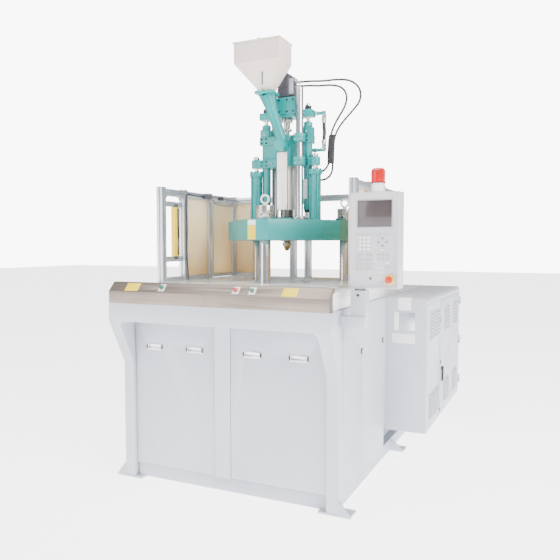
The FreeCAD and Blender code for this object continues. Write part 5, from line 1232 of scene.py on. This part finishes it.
arrows = [arrow_key(0.922, 1.4825, 90), arrow_key(0.922, 1.4445, 270), arrow_key(0.901, 1.4635, 180),
          arrow_key(0.943, 1.4635, 0)]
panel_lock = turned("lock", (0.862, FACE_Y, 1.277), (0, -1, 0),
                    [(0, 0.0012), (0.0022, 0.0012), (0.0022, 0.003), (0.0045, 0.003), (0.0055, 0.002),
                     (0.0058, 0)], 28)
fit("panel_dark_keys", arrows + [panel_lock], key_dark, "panel")
STOP_X, STOP_Z = 0.961, 1.272
stop_ring = turned("ring", (STOP_X, FACE_Y, STOP_Z), (0, -1, 0),
                   [(0.014, 0), (0.0262, 0), (0.0262, 0.0012), (0.0245, 0.0022), (0.014, 0.0022)], 44)
fit("stop_ring", [stop_ring], yellow_plate, "panel")
eased("estop_button", 0.0012, "estop", red_cap)
panel_screws = [(x, FACE_Y - 0.0008, z) for x in (0.7515, 1.0035) for z in (1.24, 1.472, 1.704)]
screws("panel_corner_screws", (0, -1, 0), 0.0026, panel_screws, zinc_plate, "panel", socket=False)
swivel = [turned("collar", (0.803, -1.09, 1.2142), (0, 0, 1),
                 [(0.0262, 0), (0.03, 0.0006), (0.03, 0.0052), (0.0262, 0.0062)], 36),
          turned("clamp", (0.803, -1.1302, 1.19), (0, -1, 0),
                 [(0, 0), (0.0075, 0), (0.0075, 0.005), (0.005, 0.006), (0.005, 0.012), (0, 0.012)], 6)]
fit("swivel_clamp", swivel, dark_steel, "root")
arm_screws = [(0.722, -1.1502, z) for z in (1.036, 1.064)]
screws("arm_screws", (0, -1, 0), 0.005, arm_screws, zinc_plate, "root", socket=False)


# ---- Beacon
# A red ribbed lens over a lamp, on a pale stepped foot.
# The lens turns onto the foot with a dark rubber ring between them.
lens_red = film("lens_red", tone(220, 8, 14), tone(190, 2, 8), 0.12, slot="red_plastic", patch=20,
                Transmission_Weight=0.12, IOR=1.49, Coat_Weight=0.6, Coat_Roughness=0.05)
BEACON = (0.884, -1.056, 1.718)
foot_outline = [(0, 0.0002), (0.0385, 0.0002), (0.0388, 0.006), (0.037, 0.008), (0.0358, 0.03),
                (0.0345, 0.032), (0.0345, 0.046), (0.0335, 0.048), (0, 0.048)]
beacon_foot = turned("beacon_foot", BEACON, (0, 0, 1), foot_outline, 48)
lens_outline = [(0, 0.0505)]
for step in range(11):
    height = 0.0505 + step * 0.0058
    lens_outline += [(0.0352, height), (0.0368, height + 0.0016), (0.0368, height + 0.0036),
                     (0.0352, height + 0.0052)]
lens_outline += [(0.0345, 0.115), (0.031, 0.121), (0.024, 0.1245), (0.012, 0.1258), (0, 0.1259)]
beacon_lens = turned("beacon_lens", BEACON, (0, 0, 1), lens_outline, 56)
place_piece(beacon_foot, pale_enamel, "panel")
place_piece(beacon_lens, lens_red, "panel")
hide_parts("beacon")
beacon_ring = turned("beacon_ring", BEACON, (0, 0, 1), [(0.03, 0.048), (0.0372, 0.048), (0.0372, 0.05),
                                                        (0.03, 0.0504)], 48)
place_piece(beacon_ring, dark_steel, "panel")


# ---- Hydraulics in the base
# The oil tank, motor and pump, and the valve manifold behind the covers.
# The motor has cooling fins and a fan cowl, and each valve a solenoid at both ends.
eased("oil_tank", 0.003, "root", grey_coat)
eased("pump_set", 0.003, "root", dark_enamel)
eased("valve_block", 0.002, "root", turned_steel)
PUMP_Y, PUMP_Z = 0.69, 0.58
fins = []
for number in range(20):
    angle = math.radians(-20 + 220 * number / 19)
    fin = block("fin", (-0.045, -0.0018, 0.1135), (0.262, 0.0018, 0.1185), 0.0008)
    fin.rotation_euler = (math.pi / 2 - angle, 0, 0)
    fin.location = (0, PUMP_Y, PUMP_Z)
    pick(fin)
    settle()
    fins.append(fin)
fit("pump_motor_fins", fins, dark_enamel, "root")
fan_rim = turned("rim", (0.33, PUMP_Y, PUMP_Z), (1, 0, 0), [(0.03, 0), (0.06, 0), (0.06, 0.002),
                                                            (0.03, 0.002)], 40)
terminal_box = block("box", (0.06, PUMP_Y - 0.045, 0.692), (0.16, PUMP_Y + 0.045, 0.74), 0.004)
fit("pump_motor_fittings", [fan_rim, terminal_box], dark_enamel, "root")
coils = [turned("coil", (x, y, 0.5585), (0, way, 0), [(0, 0), (0.0165, 0), (0.0165, 0.026), (0.0145, 0.028),
                                                      (0.0075, 0.028), (0.0075, 0.034), (0, 0.034)], 28)
         for x in (-0.3, -0.18, -0.06, 0.06, 0.18, 0.3) for y, way in ((0.88, -1), (1.02, 1))]
fit("valve_solenoids", coils, dark_steel, "root")
filler = turned("filler_cap", (-0.33, 0.47, 0.4702), (0, 0, 1),
                [(0, 0), (0.042, 0), (0.044, 0.003), (0.044, 0.02), (0.04, 0.024), (0.012, 0.026),
                 (0, 0.026)], 40)
gauge = block("gauge", (0.3, 0.3755, 0.2), (0.322, 0.3795, 0.35), 0.0014)
fit("tank_fittings", [filler, gauge], zinc_plate, "root")


# ---- Floor and light
# A plain pale floor under soft studio lights.
# The main light comes from above the right side, with a wide fill from the front left.
bpy.ops.object.select_all(action="DESELECT")
bpy.ops.mesh.primitive_plane_add(size=60, location=(0, 0, -0.0005))
floor = bpy.context.active_object
floor.name = "floor"
floor.data.materials.append(film("studio_floor", tone(252, 252, 252), tone(250, 250, 250), 0.8, patch=0.3,
                                 Emission_Strength=3.2))
world = bpy.data.worlds.new("studio")
world.use_nodes = True
sky = world.node_tree.nodes["Background"]
sky.inputs["Color"].default_value = (1, 1, 1, 1)
seen = world.node_tree.nodes.new("ShaderNodeLightPath").outputs["Is Camera Ray"]
world.node_tree.links.new(spread(world.node_tree, seen, 0, 1, 0.62, 9.0), sky.inputs["Strength"])
bpy.context.scene.world = world
for name, place, aim, size, power in (("right_light", (5.5, -2.5, 4.5), (0.5, 0, 1.0), 3.5, 640),
                                      ("top_light", (-0.5, -1.5, 5.5), (0, -0.3, 1.0), 4.0, 260),
                                      ("front_fill", (-3.5, -5.5, 3.0), (0, -0.5, 1.2), 3.5, 170)):
    lamp = bpy.data.lights.new(name, "AREA")
    lamp.size = size
    lamp.energy = power
    light = bpy.data.objects.new(name, lamp)
    light.location = place
    light.rotation_euler = (Vector(aim) - Vector(place)).to_track_quat("-Z", "Y").to_euler()
    bpy.context.scene.collection.objects.link(light)
